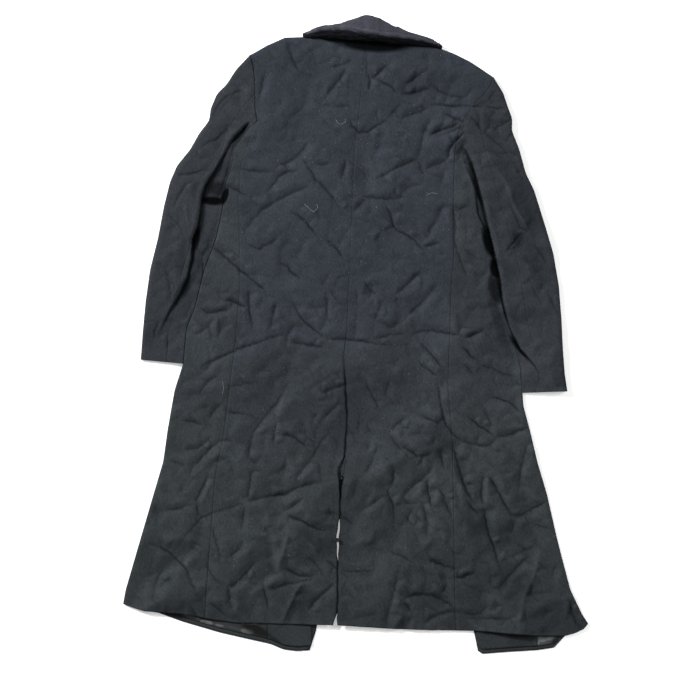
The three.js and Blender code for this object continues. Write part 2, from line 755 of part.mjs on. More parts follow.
// One of the two pieces of a sleeve: over the top, round one edge and under
function sleevePiece(name, half, upper, under, atOuterEdge) {
  const rows = sleeveRows(half);
  const rollFrom = upper[upper.length - 1];
  const gapWay = atOuterEdge ? -1 : 1;
  const columns = [
    ...upper.map((across) => ({ part: 'upper', across })),
    ...ROLL_TURNS.slice(1, -1).map((turn) => ({ part: 'roll', turn })),
    ...under.map((across) => ({ part: 'under', across })),
  ];
  const pointAt = (row, column) => {
    const width = row.outerEnd.distanceTo(row.innerEnd);
    const seamShift = (gapWay * SEAM_GAP) / 2 / width;
    const atSeam = column.across === (column.part === 'upper' ? HINDARM_SHARE : FOREARM_SHARE);
    if (column.part === 'roll') {
      const start = sleevePlace(half, row, rollFrom);
      const radius = SLEEVE_ROLL_SHARE * width;
      const roll = rollPoint(sleeveHeight(start, row.share, rollFrom), radius, column.turn);
      const edgeShare = atOuterEdge ? 0 : 1;
      const outer = sleevePlace(half, row, Math.abs(edgeShare - roll.inset / width));
      const inner = sleevePlace(half, row, Math.abs(edgeShare - roll.innerInset / width));
      return {
        outer: new THREE.Vector3(outer.x, outer.y, roll.z),
        inner: new THREE.Vector3(inner.x, inner.y, roll.innerZ),
      };
    }
    const across = column.across + (atSeam ? seamShift : 0);
    const place = sleevePlace(half, row, across);
    if (column.part === 'under') {
      return {
        outer: new THREE.Vector3(place.x, place.y, 0),
        inner: new THREE.Vector3(place.x, place.y, WOOL),
      };
    }
    return layerPoint(place.x, place.y, sleeveHeight(place, row.share, across), WOOL);
  };
  return wallFromGrid(name, rows, columns, pointAt, NAVY);
}

// A wall along the collar from a section in Y and Z at each place along it. The section's outer face is on
// the left of its way; away is the side that the wall's thickness goes to.
function collarWall(name, places, sectionAt, away) {
  const outer = [];
  const inner = [];
  for (const x of places) {
    const section = sectionAt(x);
    outer.push(section.map(([y, z]) => new THREE.Vector3(x, y, z)));
    inner.push(
      section.map(([y, z], index) => {
        const before = section[Math.max(index - 1, 0)];
        const after = section[Math.min(index + 1, section.length - 1)];
        const along = new THREE.Vector2(after[0] - before[0], after[1] - before[1]).normalize();
        return new THREE.Vector3(x, y + away * along.y * WOOL, z - away * along.x * WOOL);
      }),
    );
  }
  return clothWall(name, outer, inner, NAVY);
}

function collarPlaces(from, to) {
  const count = Math.round((to - from) / COLLAR_STEP);
  return shares(count).map((share) => lerp(from, to, share));
}

function collarAt(x) {
  const read = (column) => readTable(COLLAR, 'x', x, column);
  const fallY = read('fallY');
  return {
    fallY,
    fallZ: backHeight(x, fallY) + WOOL + read('lift'),
    crestY: read('crestY'),
    crestZ: read('crestZ'),
    leafY: read('leafY'),
  };
}

// The leaf that turns over the crest and hangs clear of the back, and a rim beyond the crest
function fallSection(x) {
  const collar = collarAt(x);
  const slope = (share, bulge) => [
    lerp(collar.fallY, collar.crestY, share) - bulge,
    lerp(collar.fallZ, collar.crestZ, share),
  ];
  return [
    slope(0, 0),
    slope(0.35, 1.2),
    slope(0.7, 1.2),
    [collar.crestY - 1.6, collar.crestZ - 1],
    [collar.crestY, collar.crestZ],
    [collar.crestY + 1.8, collar.crestZ - 1.2],
    [collar.crestY + 2.6, collar.crestZ - 3.4],
  ];
}

// The standing leaf, from the neck seam up inside the fall
function standSection(x) {
  const collar = collarAt(x);
  const base = [readTable(BACK_TOP, 'x', x, 'y') + SEAM_GAP, readTable(BACK_TOP, 'x', x, 'z') - WOOL];
  const head = [
    lerp(collar.fallY, collar.crestY, STAND_SHARE) + 1.5 * WOOL,
    lerp(collar.fallZ, collar.crestZ, STAND_SHARE),
  ];
  return [base, [lerp(base[0], head[0], 0.5), lerp(base[1], head[1], 0.5)], head];
}

// Beyond the crest the collar runs down to the surface and back under the neck
function leafSection(x) {
  const collar = collarAt(x);
  const startY = collar.crestY + 3;
  const startZ = collar.crestZ - 4.2;
  const reach = collar.leafY - startY;
  const endY = readTable(FRONT_TOP, 'x', x, 'y') + LEAF_CLEARANCE;
  return [
    [startY, startZ],
    [startY + reach * 0.38, startZ * 0.78],
    [startY + reach * 0.75, startZ * 0.5],
    [collar.leafY - 1, startZ * 0.28],
    [collar.leafY, 4.5],
    [collar.leafY - 1.6, 1.1],
    [collar.leafY - 4.6, 0],
    [endY, 0],
  ];
}

// The strip of cloth that closes the vent behind its two edges
function ventUnderlay() {
  const pointAt = (share, across) => {
    const y = lerp(UNDERLAY.top, UNDERLAY.bottom, share);
    const x = lerp(UNDERLAY.left, UNDERLAY.right, across);
    return layerPoint(x, y, underlayHeight(x, y), UNDERLAY.wall);
  };
  return wallFromGrid('vent_underlay', shares(6), shares(3), pointAt, SKIRT_NAVY);
}

function underlayHeight(x, y) {
  return Math.max(backHeight(x, y) - LAP_LIFT - WOOL - LAY_GAP, UNDERLAY.wall + 0.6);
}

function button(name, size, x, y, z) {
  const geometry = new THREE.CylinderGeometry(size.radius, size.radius, size.height, 20);
  geometry.rotateX(Math.PI / 2);
  const material = new THREE.MeshStandardMaterial({ color: BUTTON_BLACK, roughness: 0.4, metalness: 0 });
  const mesh = new THREE.Mesh(geometry, material);
  mesh.position.set(x, y, z + size.height / 2);
  mesh.name = name;
  return mesh;
}

// A facing or lining that lies on the front, from under the back's hem to near the front's own hem
function hemPiece(piece) {
  const pointAt = (share, across) => {
    const x = lerp(piece.from, piece.to, across);
    const hiddenY = readTable(BACK_HEM, 'x', x, 'y') + HEM_SHOWS_FROM;
    const y = lerp(hiddenY, readTable(FRONT_HEM, 'x', x, 'y') + piece.bare, share);
    return layerPoint(x, y, WOOL + SEAM_GAP + piece.wall, piece.wall);
  };
  const columns = Math.round((piece.to - piece.from) / 24);
  return wallFromGrid(piece.name, shares(3), shares(columns), pointAt, piece.color);
}

const coat = new THREE.Group();

coat.add(backPanel('back_left', HALVES.left, 12));
coat.add(backPanel('back_right', HALVES.right, 12));

for (const [side, half] of Object.entries(HALVES)) {
  coat.add(sidePanel(`side_${side}`, half));
  coat.add(frontPanel(`front_${side}`, half));
  coat.add(sleevePiece(`top_sleeve_${side}`, half, TOP_SLEEVE_UPPER, TOP_SLEEVE_UNDER, true));
  coat.add(sleevePiece(`under_sleeve_${side}`, half, UNDER_SLEEVE_UPPER, UNDER_SLEEVE_UNDER, false));
}

const collarFrom = COLLAR[0].x;
const collarTo = COLLAR[COLLAR.length - 1].x;
coat.add(collarWall('collar_fall', collarPlaces(collarFrom, collarTo), fallSection, 1));
coat.add(collarWall('collar_stand', collarPlaces(collarFrom + STAND_INSET, collarTo - STAND_INSET), standSection, 1));
coat.add(collarWall('collar_leaf', collarPlaces(collarFrom + STAND_INSET, collarTo - STAND_INSET), leafSection, 1));

coat.add(ventUnderlay());
for (const { name, x, y, onUnderlay } of VENT_BUTTONS) {
  const seat = onUnderlay ? underlayHeight(x, y) : backHeight(x, y) + LAP_LIFT / 2;
  coat.add(button(name, VENT_BUTTON, x, y, seat + LAY_GAP));
}
FRONT_BUTTON_HEIGHTS.forEach((y, index) => {
  const x = readTable(FRONT_EDGE, 'y', y, 'right') + FRONT_BUTTON.inset;
  coat.add(button(`front_button_${index + 1}`, FRONT_BUTTON, x, y, 0));
});
for (const piece of HEM_PIECES) {
  coat.add(hemPiece(piece));
}

// The origin lies on the surface, under the middle of the coat's reach
const reach = new THREE.Box3().setFromObject(coat);
const middle = reach.getCenter(new THREE.Vector3());
coat.position.set(-middle.x, -middle.y, -reach.min.z);

export default coat;
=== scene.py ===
# A long heavy wool overcoat of military cut, unbuttoned and laid flat, face down, with its back up.
import math

import bmesh
import bpy
import numpy as np
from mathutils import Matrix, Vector, geometry


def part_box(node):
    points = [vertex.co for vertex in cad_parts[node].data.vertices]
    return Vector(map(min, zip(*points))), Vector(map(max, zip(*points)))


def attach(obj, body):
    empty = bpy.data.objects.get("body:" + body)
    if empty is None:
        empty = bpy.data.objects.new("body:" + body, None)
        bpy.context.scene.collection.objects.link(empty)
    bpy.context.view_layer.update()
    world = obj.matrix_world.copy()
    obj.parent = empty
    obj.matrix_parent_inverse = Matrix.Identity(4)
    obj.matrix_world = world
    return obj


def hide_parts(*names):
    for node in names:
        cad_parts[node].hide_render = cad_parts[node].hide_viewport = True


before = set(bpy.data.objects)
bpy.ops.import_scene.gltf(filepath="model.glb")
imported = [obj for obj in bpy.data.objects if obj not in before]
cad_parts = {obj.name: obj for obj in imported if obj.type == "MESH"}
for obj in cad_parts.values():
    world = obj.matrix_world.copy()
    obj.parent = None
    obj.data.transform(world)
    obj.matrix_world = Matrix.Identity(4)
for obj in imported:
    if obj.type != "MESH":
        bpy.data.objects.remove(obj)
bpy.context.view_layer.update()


# The setting is a plain near-white floor under an even sky. A small soft light stands at the upper left,
# and a larger, weaker one fills from the right. The camera looks straight down through a long lens, as
# the photograph does.
MM = 0.001
MM_PER_PIXEL = 2.0
PHOTO_PIXELS = 700
PHOTO_ORIGIN = (355.5, 334.8)
CAMERA_HEIGHT = 6.0
SENSOR = 36.0
FLOOR_SIZE = 9.0
PAPER_GLOW = 0.35
SKY_STRENGTH = 0.24


def linear(hex_colour):
    """An sRGB hex value as linear red, green, blue and alpha."""
    channels = [int(hex_colour[place : place + 2], 16) / 255 for place in (1, 3, 5)]
    return [c / 12.92 if c <= 0.04045 else ((c + 0.055) / 1.055) ** 2.4 for c in channels] + [1.0]


def add_node(tree, kind, settings=None, links=None):
    """A new node, with its properties and input values set and its inputs linked."""
    node = tree.nodes.new(kind)
    for name, value in (settings or {}).items():
        if name in node.inputs:
            node.inputs[name].default_value = value
        else:
            setattr(node, name, value)
    for name, source in (links or {}).items():
        tree.links.new(source, node.inputs[name])
    return node


def new_material(name):
    """An empty material, its node tree and its output node."""
    material = bpy.data.materials.new(name)
    material.use_nodes = True
    material.node_tree.nodes.clear()
    output = add_node(material.node_tree, "ShaderNodeOutputMaterial")
    return material, material.node_tree, output


def photo_to_mm(point):
    """A place in the photograph's pixels as X and Y on the coat, in millimetres."""
    return ((point[0] - PHOTO_ORIGIN[0]) * MM_PER_PIXEL, (PHOTO_ORIGIN[1] - point[1]) * MM_PER_PIXEL)


frame_width = PHOTO_PIXELS * MM_PER_PIXEL * MM
centre_x, centre_y = photo_to_mm((PHOTO_PIXELS / 2, PHOTO_PIXELS / 2))
camera_data = bpy.data.cameras.new("copy_stand_camera")
camera_data.sensor_width = SENSOR
camera_data.lens = SENSOR * CAMERA_HEIGHT / frame_width
camera_data.clip_end = 50
camera = bpy.data.objects.new("copy_stand_camera", camera_data)
camera.location = (centre_x * MM, centre_y * MM, CAMERA_HEIGHT)
bpy.context.scene.collection.objects.link(camera)
bpy.context.scene.camera = camera
bpy.context.scene.view_settings.view_transform = "Standard"

paper, paper_tree, paper_output = new_material("matte_white_paper")
paper_shader = add_node(
    paper_tree,
    "ShaderNodeBsdfPrincipled",
    {"Base Color": linear("#F6F6F5"), "Roughness": 1.0, "Specular IOR Level": 0.0}
    | {"Emission Color": linear("#FFFFFF"), "Emission Strength": PAPER_GLOW},
)
paper_tree.links.new(paper_shader.outputs["BSDF"], paper_output.inputs["Surface"])
half_floor = FLOOR_SIZE / 2
floor_mesh = bpy.data.meshes.new("floor")
floor_corners = [(sx * half_floor, sy * half_floor, 0) for sx, sy in ((-1, -1), (1, -1), (1, 1), (-1, 1))]
floor_mesh.from_pydata(floor_corners, [], [(0, 1, 2, 3)])
floor_mesh.materials.append(paper)
floor = bpy.data.objects.new("floor", floor_mesh)
bpy.context.scene.collection.objects.link(floor)

world = bpy.data.worlds.new("even_sky")
world.use_nodes = True
world.node_tree.nodes["Background"].inputs["Color"].default_value = (1.0, 1.0, 1.0, 1.0)
world.node_tree.nodes["Background"].inputs["Strength"].default_value = SKY_STRENGTH
bpy.context.scene.world = world

for light_name, place, size, power in (
    ("softbox_left", (-3.9, 2.4, 3.0), 1.1, 480),
    ("softbox_right_fill", (4.0, 1.2, 3.4), 2.2, 170),
):
    light_data = bpy.data.lights.new(light_name, "AREA")
    light_data.size = size
    light_data.energy = power
    light = bpy.data.objects.new(light_name, light_data)
    light.location = place
    aim = np.array(place) / np.linalg.norm(place)
    light.rotation_euler = (math.acos(aim[2]), 0, math.atan2(aim[1], aim[0]) + math.pi / 2)
    bpy.context.scene.collection.objects.link(light)


# The back is two panels of heavy melton, joined by a centre seam that opens into a long vent. The cloth
# has been folded for storage, so sharp creases, soft rolls and low flats run all over it.
WOOL = 2.2
GRID_PITCH = 2.6
SKIRT_LENGTH = 1000
MEETING_STEPS = 14
HALF_SEAM = -0.12
SLEEVE_GAP = -0.6
SHOULDER_ROLL = 14
LAP_LIFT = 1.9
LEAST_HEIGHT = 5.4
LEAST_BEND = 1.2

BACK_TOP = {
    "x": [-211.5, -205, -177, -141, -104, -70, -20, 20, 70, 120, 166, 197, 229, 253, 276.5],
    "y": [559, 562, 578, 594, 595, 597, 598, 594, 587, 581, 573, 562, 546, 530, 514],
    "z": [4.7, 4.7, 4.7, 4.7, 6, 9, 10, 10, 10, 9, 6, 4.7, 4.7, 4.7, 4.7],
}
ARMPIT_LINE = {"x": [-202.5, 211.5], "y": [424, 404]}
BACK_HEM = {
    "x": [-464, -447, -422, -361, -341, -285, -240, -141, -37, 88, 263, 353, 417, 439, 456, 464.5],
    "y": [-538, -544, -552, -556, -558, -569, -575, -577.5, -580, -588, -592, -600, -602, -596, -588, -578],
}
ARMHOLE_LEFT = {"step": [0, 0.08, 0.2, 0.4, 0.8, 1], "x": [-211.5, -209, -205, -202.5, -201.5, -197]}
ARMHOLE_RIGHT = {"step": [0, 0.2, 0.4, 0.6, 0.8, 1], "x": [276.5, 269, 256, 237, 219, 205]}
SIDE_SEAM_LEFT = {
    "y": [424, 380, 335, 270, 102, -16, -198, -282, -422, -566],
    "x": [-197, -214, -229, -233, -230, -240, -263, -280, -291, -301],
}
SIDE_SEAM_RIGHT = {
    "y": [404, 370, 298, 170, 84, -106, -204, -590],
    "x": [205, 199, 196, 197, 191, 185, 194, 200],
}
# left and right are the two panels' edges at the centre; lift parts them where they lap in the vent
CENTRE_BACK = {
    "y": [600, 570, 450, 384, 186, 10, -45, -100, -172, -225, -243, -258, -280, -300, -330, -366]
    + [-370, -402, -430, -453, -457, -530, -558, -580],
    "left": [21, 19, 8, -1, -10, -17, -23, -12, -8, -13, -21, -32, -36, -32.5, -30.5, -30]
    + [-34, -37.6, -37.2, -36.6, -32.5, -32, -37, -45],
    "right": [21, 19, 8, -1, -10, -17, -23, -19, -16, -20, -20.4, -21, -24, -27.4, -29.4, -30.8]
    + [-30.8, -32.4, -33.8, -35.4, -35, -35, -36.6, -36],
    "lift": [0, 0, 0, 0, 0, 0.2, 1, 1, 1, 1, 1, 1, 0.9, 0.8, 0.7, 0.5, 0.4, 0.2, 0.2, 0.3]
    + [0.6, 0.7, 0.5, 0.2],
}
BODY_LOFT = {"y": [600, 520, 400, 200, 0, -200, -420, -600], "z": [11.5, 14, 13.5, 12, 10.5, 9.5, 9, 8.2]}

# Creases seen in the photograph, in its pixels: the points of each, then its depth and half width in
# millimetres. A negative depth is a raised fold.
SHARP, SOFT, BROAD = 1.6, 2.4, 4.5
CREASES = [
    ((287, 42), (290, 50), (292, 57), (295, 65), (299, 72), 2.0, SOFT),
    ((331, 67), (340, 66), (347, 63), (352, 60), 1.8, SHARP),
    ((346, 68), (343, 75), (338, 82), (333, 88), (328, 95), 2.4, SOFT),
    ((266, 70), (264, 79), (262, 89), (258, 103), 2.0, SOFT),
    ((388, 65), (382, 70), (376, 77), (370, 80), 3.4, SHARP),
    ((368, 72), (370, 80), (369, 91), 2.4, SHARP),
    ((376, 80), (383, 83), (391, 87), (398, 95), 2.2, SHARP),
    ((430, 68), (420, 75), (410, 82), (402, 90), 2.4, SOFT),
    ((401, 94), (410, 94), (419, 92), (428, 89), 3.2, BROAD),
    ((432, 85), (440, 92), (452, 97), (465, 98), 1.8, SOFT),
    ((349, 118), (352, 126), (359, 133), (368, 132), (377, 126), (387, 120), 2.6, SHARP),
    ((387, 120), (394, 111), (401, 104), 1.6, SOFT),
    ((400, 119), (412, 114), (421, 112), (428, 108), 2.2, SHARP),
    ((430, 105), (440, 105), (452, 107), (463, 106), (472, 107), 2.6, SHARP),
    ((441, 112), (449, 116), (458, 120), (464, 123), 2.2, SOFT),
    ((428, 137), (436, 132), (445, 129), (453, 127), (459, 122), 3.6, SHARP),
    ((434, 138), (444, 134), (455, 130), (466, 126), 2.4, SOFT),
    ((464, 133), (458, 139), (452, 145), (449, 152), (447, 160), 3.8, SHARP),
    ((447, 161), (440, 163), (432, 166), (424, 170), 2.4, SHARP),
    ((375, 179), (383, 176), (392, 170), (401, 166), (410, 162), (417, 160), 3.0, SHARP),
    ((418, 161), (421, 168), (424, 178), 1.8, SOFT),
    ((431, 118), (427, 126), (423, 135), (421, 146), (418, 156), 2.4, BROAD),
    ((364, 197), (374, 198), (385, 199), (396, 199), (402, 197), 2.8, SHARP),
    ((402, 192), (411, 186), (422, 185), 1.6, SOFT),
    ((239, 168), (250, 171), (261, 172), (273, 172), 2.0, SHARP),
    ((280, 165), (288, 163), (296, 157), (303, 150), (308, 142), 2.4, SOFT),
    ((268, 192), (274, 184), (279, 177), (286, 172), (297, 171), 2.6, SHARP),
    ((314, 164), (322, 165), (331, 163), 2.0, SHARP),
    ((303, 160), (308, 167), (314, 176), (317, 185), 2.2, SOFT),
    ((313, 178), (321, 184), (328, 192), (335, 201), (342, 212), 2.2, SOFT),
    ((346, 160), (344, 170), (341, 180), 2.2, SOFT),
    ((310, 186), (293, 193), (277, 201), (263, 210), (253, 220), (244, 232), 2.8, SOFT),
    ((226, 184), (232, 188), (240, 192), (249, 198), 2.0, SHARP),
    ((367, 199), (359, 206), (352, 214), 2.0, SOFT),
    ((303, 108), (295, 115), (288, 120), 1.3, SHARP),
    ((366, 50), (367, 68), (366, 86), 1.2, SHARP),
    ((214, 248), (222, 254), (231, 262), (240, 270), (248, 276), (258, 285), (264, 289), 3.2, SHARP),
    ((248, 244), (255, 248), (259, 250), (264, 246), (272, 243), (278, 236), 2.2, SHARP),
    ((290, 212), (299, 216), (306, 222), (312, 230), (318, 238), 2.8, SHARP),
    ((326, 240), (333, 245), (339, 252), (344, 260), 2.2, SOFT),
    ((281, 263), (288, 267), (293, 274), (301, 279), 2.4, SHARP),
    ((386, 206), (391, 215), (393, 225), (397, 231), (407, 235), (416, 242), (424, 251), 3.0, SHARP),
    ((424, 247), (431, 245), (439, 243), 2.2, SHARP),
    ((446, 203), (441, 210), (436, 221), (430, 230), (425, 240), 2.2, SOFT),
    ((422, 271), (414, 278), (407, 285), (400, 291), (395, 295), 2.8, SHARP),
    ((396, 296), (398, 304), (402, 312), 1.8, SHARP),
    (
        *((437, 284), (431, 292), (424, 300), (416, 307), (408, 314), (399, 322), (391, 328), (383, 323)),
        3.2,
        BROAD,
    ),
    ((453, 206), (455, 226), (454, 240), (457, 252), (461, 262), (467, 277), 2.2, SOFT),
    ((456, 213), (461, 208), (468, 206), 1.8, SHARP),
    ((249, 290), (249, 302), (250, 314), (253, 329), 3.0, SHARP),
    ((276, 303), (274, 312), (272, 322), (270, 330), 2.2, SOFT),
    ((225, 300), (232, 301), (239, 304), (246, 307), 3.0, SHARP),
    ((200, 308), (206, 312), (213, 313), (220, 311), (230, 309), 2.6, SHARP),
    ((214, 318), (209, 326), (202, 332), (195, 334), 1.8, SOFT),
    ((326, 292), (327, 302), (327, 312), (326, 321), 2.2, SOFT),
    ((293, 302), (297, 311), (303, 320), (311, 327), (319, 333), (325, 339), 3.0, SHARP),
    ((325, 339), (343, 339), (353, 340), (362, 341), (371, 343), (388, 345), 2.8, SHARP),
    ((200, 368), (208, 363), (228, 354), (238, 349), (259, 342), (276, 336), (286, 334), 3.4, SHARP),
    ((290, 342), (299, 343), (308, 345), (323, 347), 2.4, SHARP),
    ((297, 322), (292, 328), (287, 336), (286, 350), 1.8, SOFT),
    ((372, 338), (381, 338), (391, 334), (404, 334), 1.8, SHARP),
    ((412, 334), (420, 331), (430, 330), (440, 332), (450, 334), (458, 335), 3.2, SHARP),
    ((465, 338), (472, 335), (484, 330), 3.2, SHARP),
    ((405, 343), (411, 349), (414, 355), (420, 363), (427, 372), 3.2, SHARP),
    ((420, 343), (428, 351), (436, 360), (442, 368), 2.2, SOFT),
    ((463, 347), (468, 353), (475, 360), 2.6, SHARP),
    ((375, 320), (377, 312), (381, 305), 1.6, SOFT),
    (
        *((287, 384), (283, 393), (277, 402), (270, 410), (262, 420), (256, 428), (251, 437), (248, 460)),
        3.6,
        BROAD,
    ),
    ((263, 470), (252, 471), (250, 484), (248, 495), (242, 501), 2.4, SOFT),
    ((277, 422), (274, 432), (274, 444), 2.6, SHARP),
    ((282, 435), (290, 435), (299, 440), (307, 448), 2.6, SHARP),
    ((346, 385), (337, 387), (331, 390), (322, 393), 2.6, SHARP),
    ((339, 404), (330, 412), (322, 420), 2.4, SHARP),
    ((318, 413), (312, 420), 1.8, SHARP),
    ((333, 430), (324, 437), (318, 446), (313, 455), (308, 463), (302, 470), (296, 479), 3.0, BROAD),
    ((316, 431), (314, 440), (313, 451), 2.0, SOFT),
    ((326, 481), (310, 484), (300, 487), (292, 490), (288, 494), (266, 497), (246, 502), 3.2, SHARP),
    ((246, 502), (232, 507), (214, 512), (199, 519), (193, 528), (183, 539), 2.8, SHARP),
    ((209, 473), (205, 483), (200, 492), (195, 503), 3.8, SOFT),
    ((197, 503), (198, 512), (195, 523), 2.8, SOFT),
    ((194, 503), (185, 506), (178, 509), (165, 510), 2.2, SHARP),
    ((235, 442), (228, 440), (220, 441), (213, 446), (207, 452), (193, 467), (189, 476), 2.6, SOFT),
    ((212, 436), (205, 443), (198, 448), (184, 450), 2.0, SOFT),
    ((183, 421), (192, 421), (204, 425), 2.2, SHARP),
    ((170, 460), (180, 464), (188, 465), 1.6, SOFT),
    ((228, 412), (238, 413), (248, 414), 1.8, SHARP),
    ((222, 404), (214, 410), (210, 419), 2.4, BROAD),
    ((216, 361), (209, 366), (203, 372), 2.0, SOFT),
    ((217, 376), (208, 382), (203, 388), 1.8, SOFT),
    ((231, 386), (240, 385), (247, 383), (255, 384), 1.5, SHARP),
    ((287, 514), (294, 518), (301, 520), (309, 525), (318, 529), (326, 530), 3.4, SHARP),
    ((303, 498), (297, 503), (290, 508), (282, 511), 2.4, SOFT),
    ((289, 528), (287, 540), (283, 552), (279, 565), (276, 573), -2.6, SOFT),
    ((283, 567), (290, 570), (297, 575), (306, 576), (314, 575), 3.4, SHARP),
    ((269, 589), (278, 587), (287, 584), (298, 582), (315, 578), 2.6, SHARP),
    ((262, 582), (264, 591), (267, 600), (268, 608), 3.0, SHARP),
    ((255, 562), (249, 569), (243, 576), (237, 582), (230, 588), 4.4, SHARP),
    ((245, 505), (243, 517), (241, 530), 2.4, BROAD),
    ((243, 540), (240, 548), (233, 554), (227, 558), 2.6, SOFT),
    ((335, 583), (326, 591), (317, 599), (309, 609), 3.2, SHARP),
    ((302, 582), (297, 590), (292, 600), (286, 612), (282, 622), -3.0, SOFT),
    ((213, 530), (216, 540), (219, 552), (220, 561), 2.2, SOFT),
    ((209, 548), (207, 566), (213, 576), (221, 585), 2.0, SOFT),
    ((228, 586), (230, 596), (231, 607), 2.2, SOFT),
    ((210, 603), (219, 609), (227, 617), 1.8, SOFT),
    ((149, 543), (158, 546), (167, 550), (178, 560), (186, 568), (190, 578), (196, 592), 3.0, SOFT),
    ((175, 578), (166, 580), (160, 588), 1.8, SHARP),
    ((165, 567), (158, 576), (154, 590), (153, 604), 2.0, BROAD),
    ((308, 556), (318, 566), (325, 578), 1.8, SOFT),
    ((300, 536), (308, 541), (314, 548), (318, 557), -1.6, SOFT),
    ((326, 560), (333, 565), (339, 570), 2.0, SOFT),
    ((366, 384), (371, 393), (376, 402), (379, 410), 2.2, SHARP),
    ((390, 381), (386, 391), (384, 398), 1.8, SOFT),
    ((403, 404), (412, 410), (421, 415), (428, 419), (443, 424), 3.0, SHARP),
    ((405, 417), (397, 424), (389, 432), 2.4, SHARP),
    ((389, 434), (394, 441), (398, 447), (404, 451), (410, 460), 1.7, SOFT),
    ((401, 446), (409, 450), (415, 454), (419, 460), 2.2, SHARP),
    ((437, 379), (439, 392), (440, 403), (443, 415), (446, 425), (454, 435), (462, 441), 3.2, SHARP),
    ((462, 441), (478, 445), (486, 446), (492, 443), (496, 438), 2.6, SHARP),
    ((496, 437), (511, 434), (520, 430), (529, 427), 2.8, SHARP),
    ((468, 418), (474, 421), (480, 427), (487, 430), (494, 437), 2.8, SHARP),
    ((490, 396), (498, 398), (506, 401), (513, 404), (518, 411), 2.6, SHARP),
    ((452, 441), (454, 450), (457, 462), (461, 476), (466, 490), (476, 507), 4.2, SOFT),
    ((428, 478), (427, 486), (429, 496), (431, 506), 4.2, SHARP),
    ((432, 467), (427, 474), (420, 481), (411, 487), (403, 497), 2.8, SOFT),
    ((393, 462), (394, 472), (393, 482), (387, 492), (393, 504), (394, 518), (394, 532), 2.6, SOFT),
    ((388, 494), (380, 498), (372, 504), (362, 510), 2.2, SOFT),
    ((433, 452), (423, 457), (418, 466), 1.8, SOFT),
    ((440, 452), (442, 460), (444, 469), 2.2, SHARP),
    ((438, 488), (443, 494), (445, 502), (452, 518), 2.2, SOFT),
    ((484, 474), (482, 484), (481, 496), (483, 506), 2.8, SOFT),
    ((488, 476), (494, 484), (499, 494), (504, 503), (513, 518), 2.8, SOFT),
    ((527, 444), (524, 456), (521, 466), (519, 480), (518, 494), 2.2, SOFT),
    ((545, 502), (537, 506), (530, 510), (514, 518), 3.0, SHARP),
    ((421, 362), (428, 369), (437, 376), 2.4, SOFT),
    ((482, 366), (492, 368), (502, 373), (513, 376), 2.2, SOFT),
    ((463, 364), (470, 370), (474, 376), 2.0, SOFT),
    ((377, 448), (371, 463), (365, 474), 1.8, SOFT),
    ((466, 498), (470, 505), (475, 511), (480, 516), 2.6, SHARP),
    ((484, 508), (485, 518), (487, 528), (490, 538), (494, 548), (498, 563), 4.6, SOFT),
    ((533, 546), (520, 552), (509, 557), 2.2, SOFT),
    ((541, 544), (538, 558), (535, 572), (530, 584), (524, 596), (519, 622), -3.4, BROAD),
    ((530, 554), (521, 562), (512, 572), (503, 582), (497, 591), 3.0, BROAD),
    ((428, 559), (435, 562), (442, 565), (458, 569), 2.4, SOFT),
    ((475, 572), (468, 575), (461, 578), (454, 577), 3.0, SHARP),
    ((447, 582), (445, 588), (442, 593), 2.2, SHARP),
    ((433, 562), (438, 574), (441, 585), -1.6, SOFT),
    ((402, 599), (412, 595), (422, 594), (432, 595), (440, 598), (452, 606), 2.8, SOFT),
    ((404, 602), (408, 607), (412, 612), 2.2, SHARP),
    ((341, 570), (350, 571), (360, 571), (373, 570), 2.4, SHARP),
    ((400, 564), (396, 580), (393, 594), (390, 606), (387, 616), (386, 627), 3.0, BROAD),
    ((424, 623), (432, 617), (441, 613), (452, 611), (461, 612), 2.0, SOFT),
    ((462, 613), (474, 614), (481, 612), (487, 605), 2.0, SOFT),
    ((465, 618), (480, 618), (495, 618), (508, 619), (517, 613), 2.0, SHARP),
    ((469, 620), (477, 626), (486, 631), -1.8, SOFT),
    ((570, 602), (571, 610), (574, 617), (577, 625), 4.0, SHARP),
    ((566, 600), (569, 607), (566, 613), (564, 619), -1.6, SHARP),
    ((557, 562), (553, 570), (552, 577), 1.8, SOFT),
    ((413, 506), (409, 515), (405, 525), 2.0, SOFT),
    ((417, 503), (410, 504), (402, 503), 1.6, SHARP),
    ((421, 500), (424, 510), (427, 522), (426, 537), 2.4, BROAD),
    ((339, 515), (346, 519), (354, 525), 1.8, SOFT),
    ((391, 552), (402, 556), (411, 561), 2.0, SOFT),
    ((535, 524), (545, 527), (550, 528), 1.6, SHARP),
    ((515, 520), (513, 527), (509, 535), 2.0, SOFT),
]

# The map of the cloth's relief, and the creases as runs of places on it, which waver a little
RELIEF_PITCH = 1.5
RELIEF_LOW, RELIEF_HIGH = (-505, -690), (505, 665)
CREASE_STEP = 8
CREASE_DEEPER = 0.95
WAVER, WAVER_RATE, WAVER_START = 0.8, 0.37, 1.3
UNEVEN = 0.3
END_FADE = 0.4

# Small folds between the creases. A heading is a mean and a spread in degrees
SMALL_FOLDS = 2000
SMALL_FOLD_AREA = (-480, 480), (-630, 610)
SMALL_FOLD_LENGTH = (16, 64)
SMALL_FOLD_HEIGHT = (0.5, 1.9)
SMALL_FOLD_STEP = 10
SMALL_FOLD_BOW = 0.03
SMALL_FOLD_HEADINGS = {
    "upper": ((38, 16), (-38, 16), (70, 20), (0, 16)),
    "skirt": ((62, 16), (-62, 16), (92, 14), (8, 16)),
}
RAISED_SHARE = 0.35
SKIRT_FROM = -150
FOLD_ROOM = 11

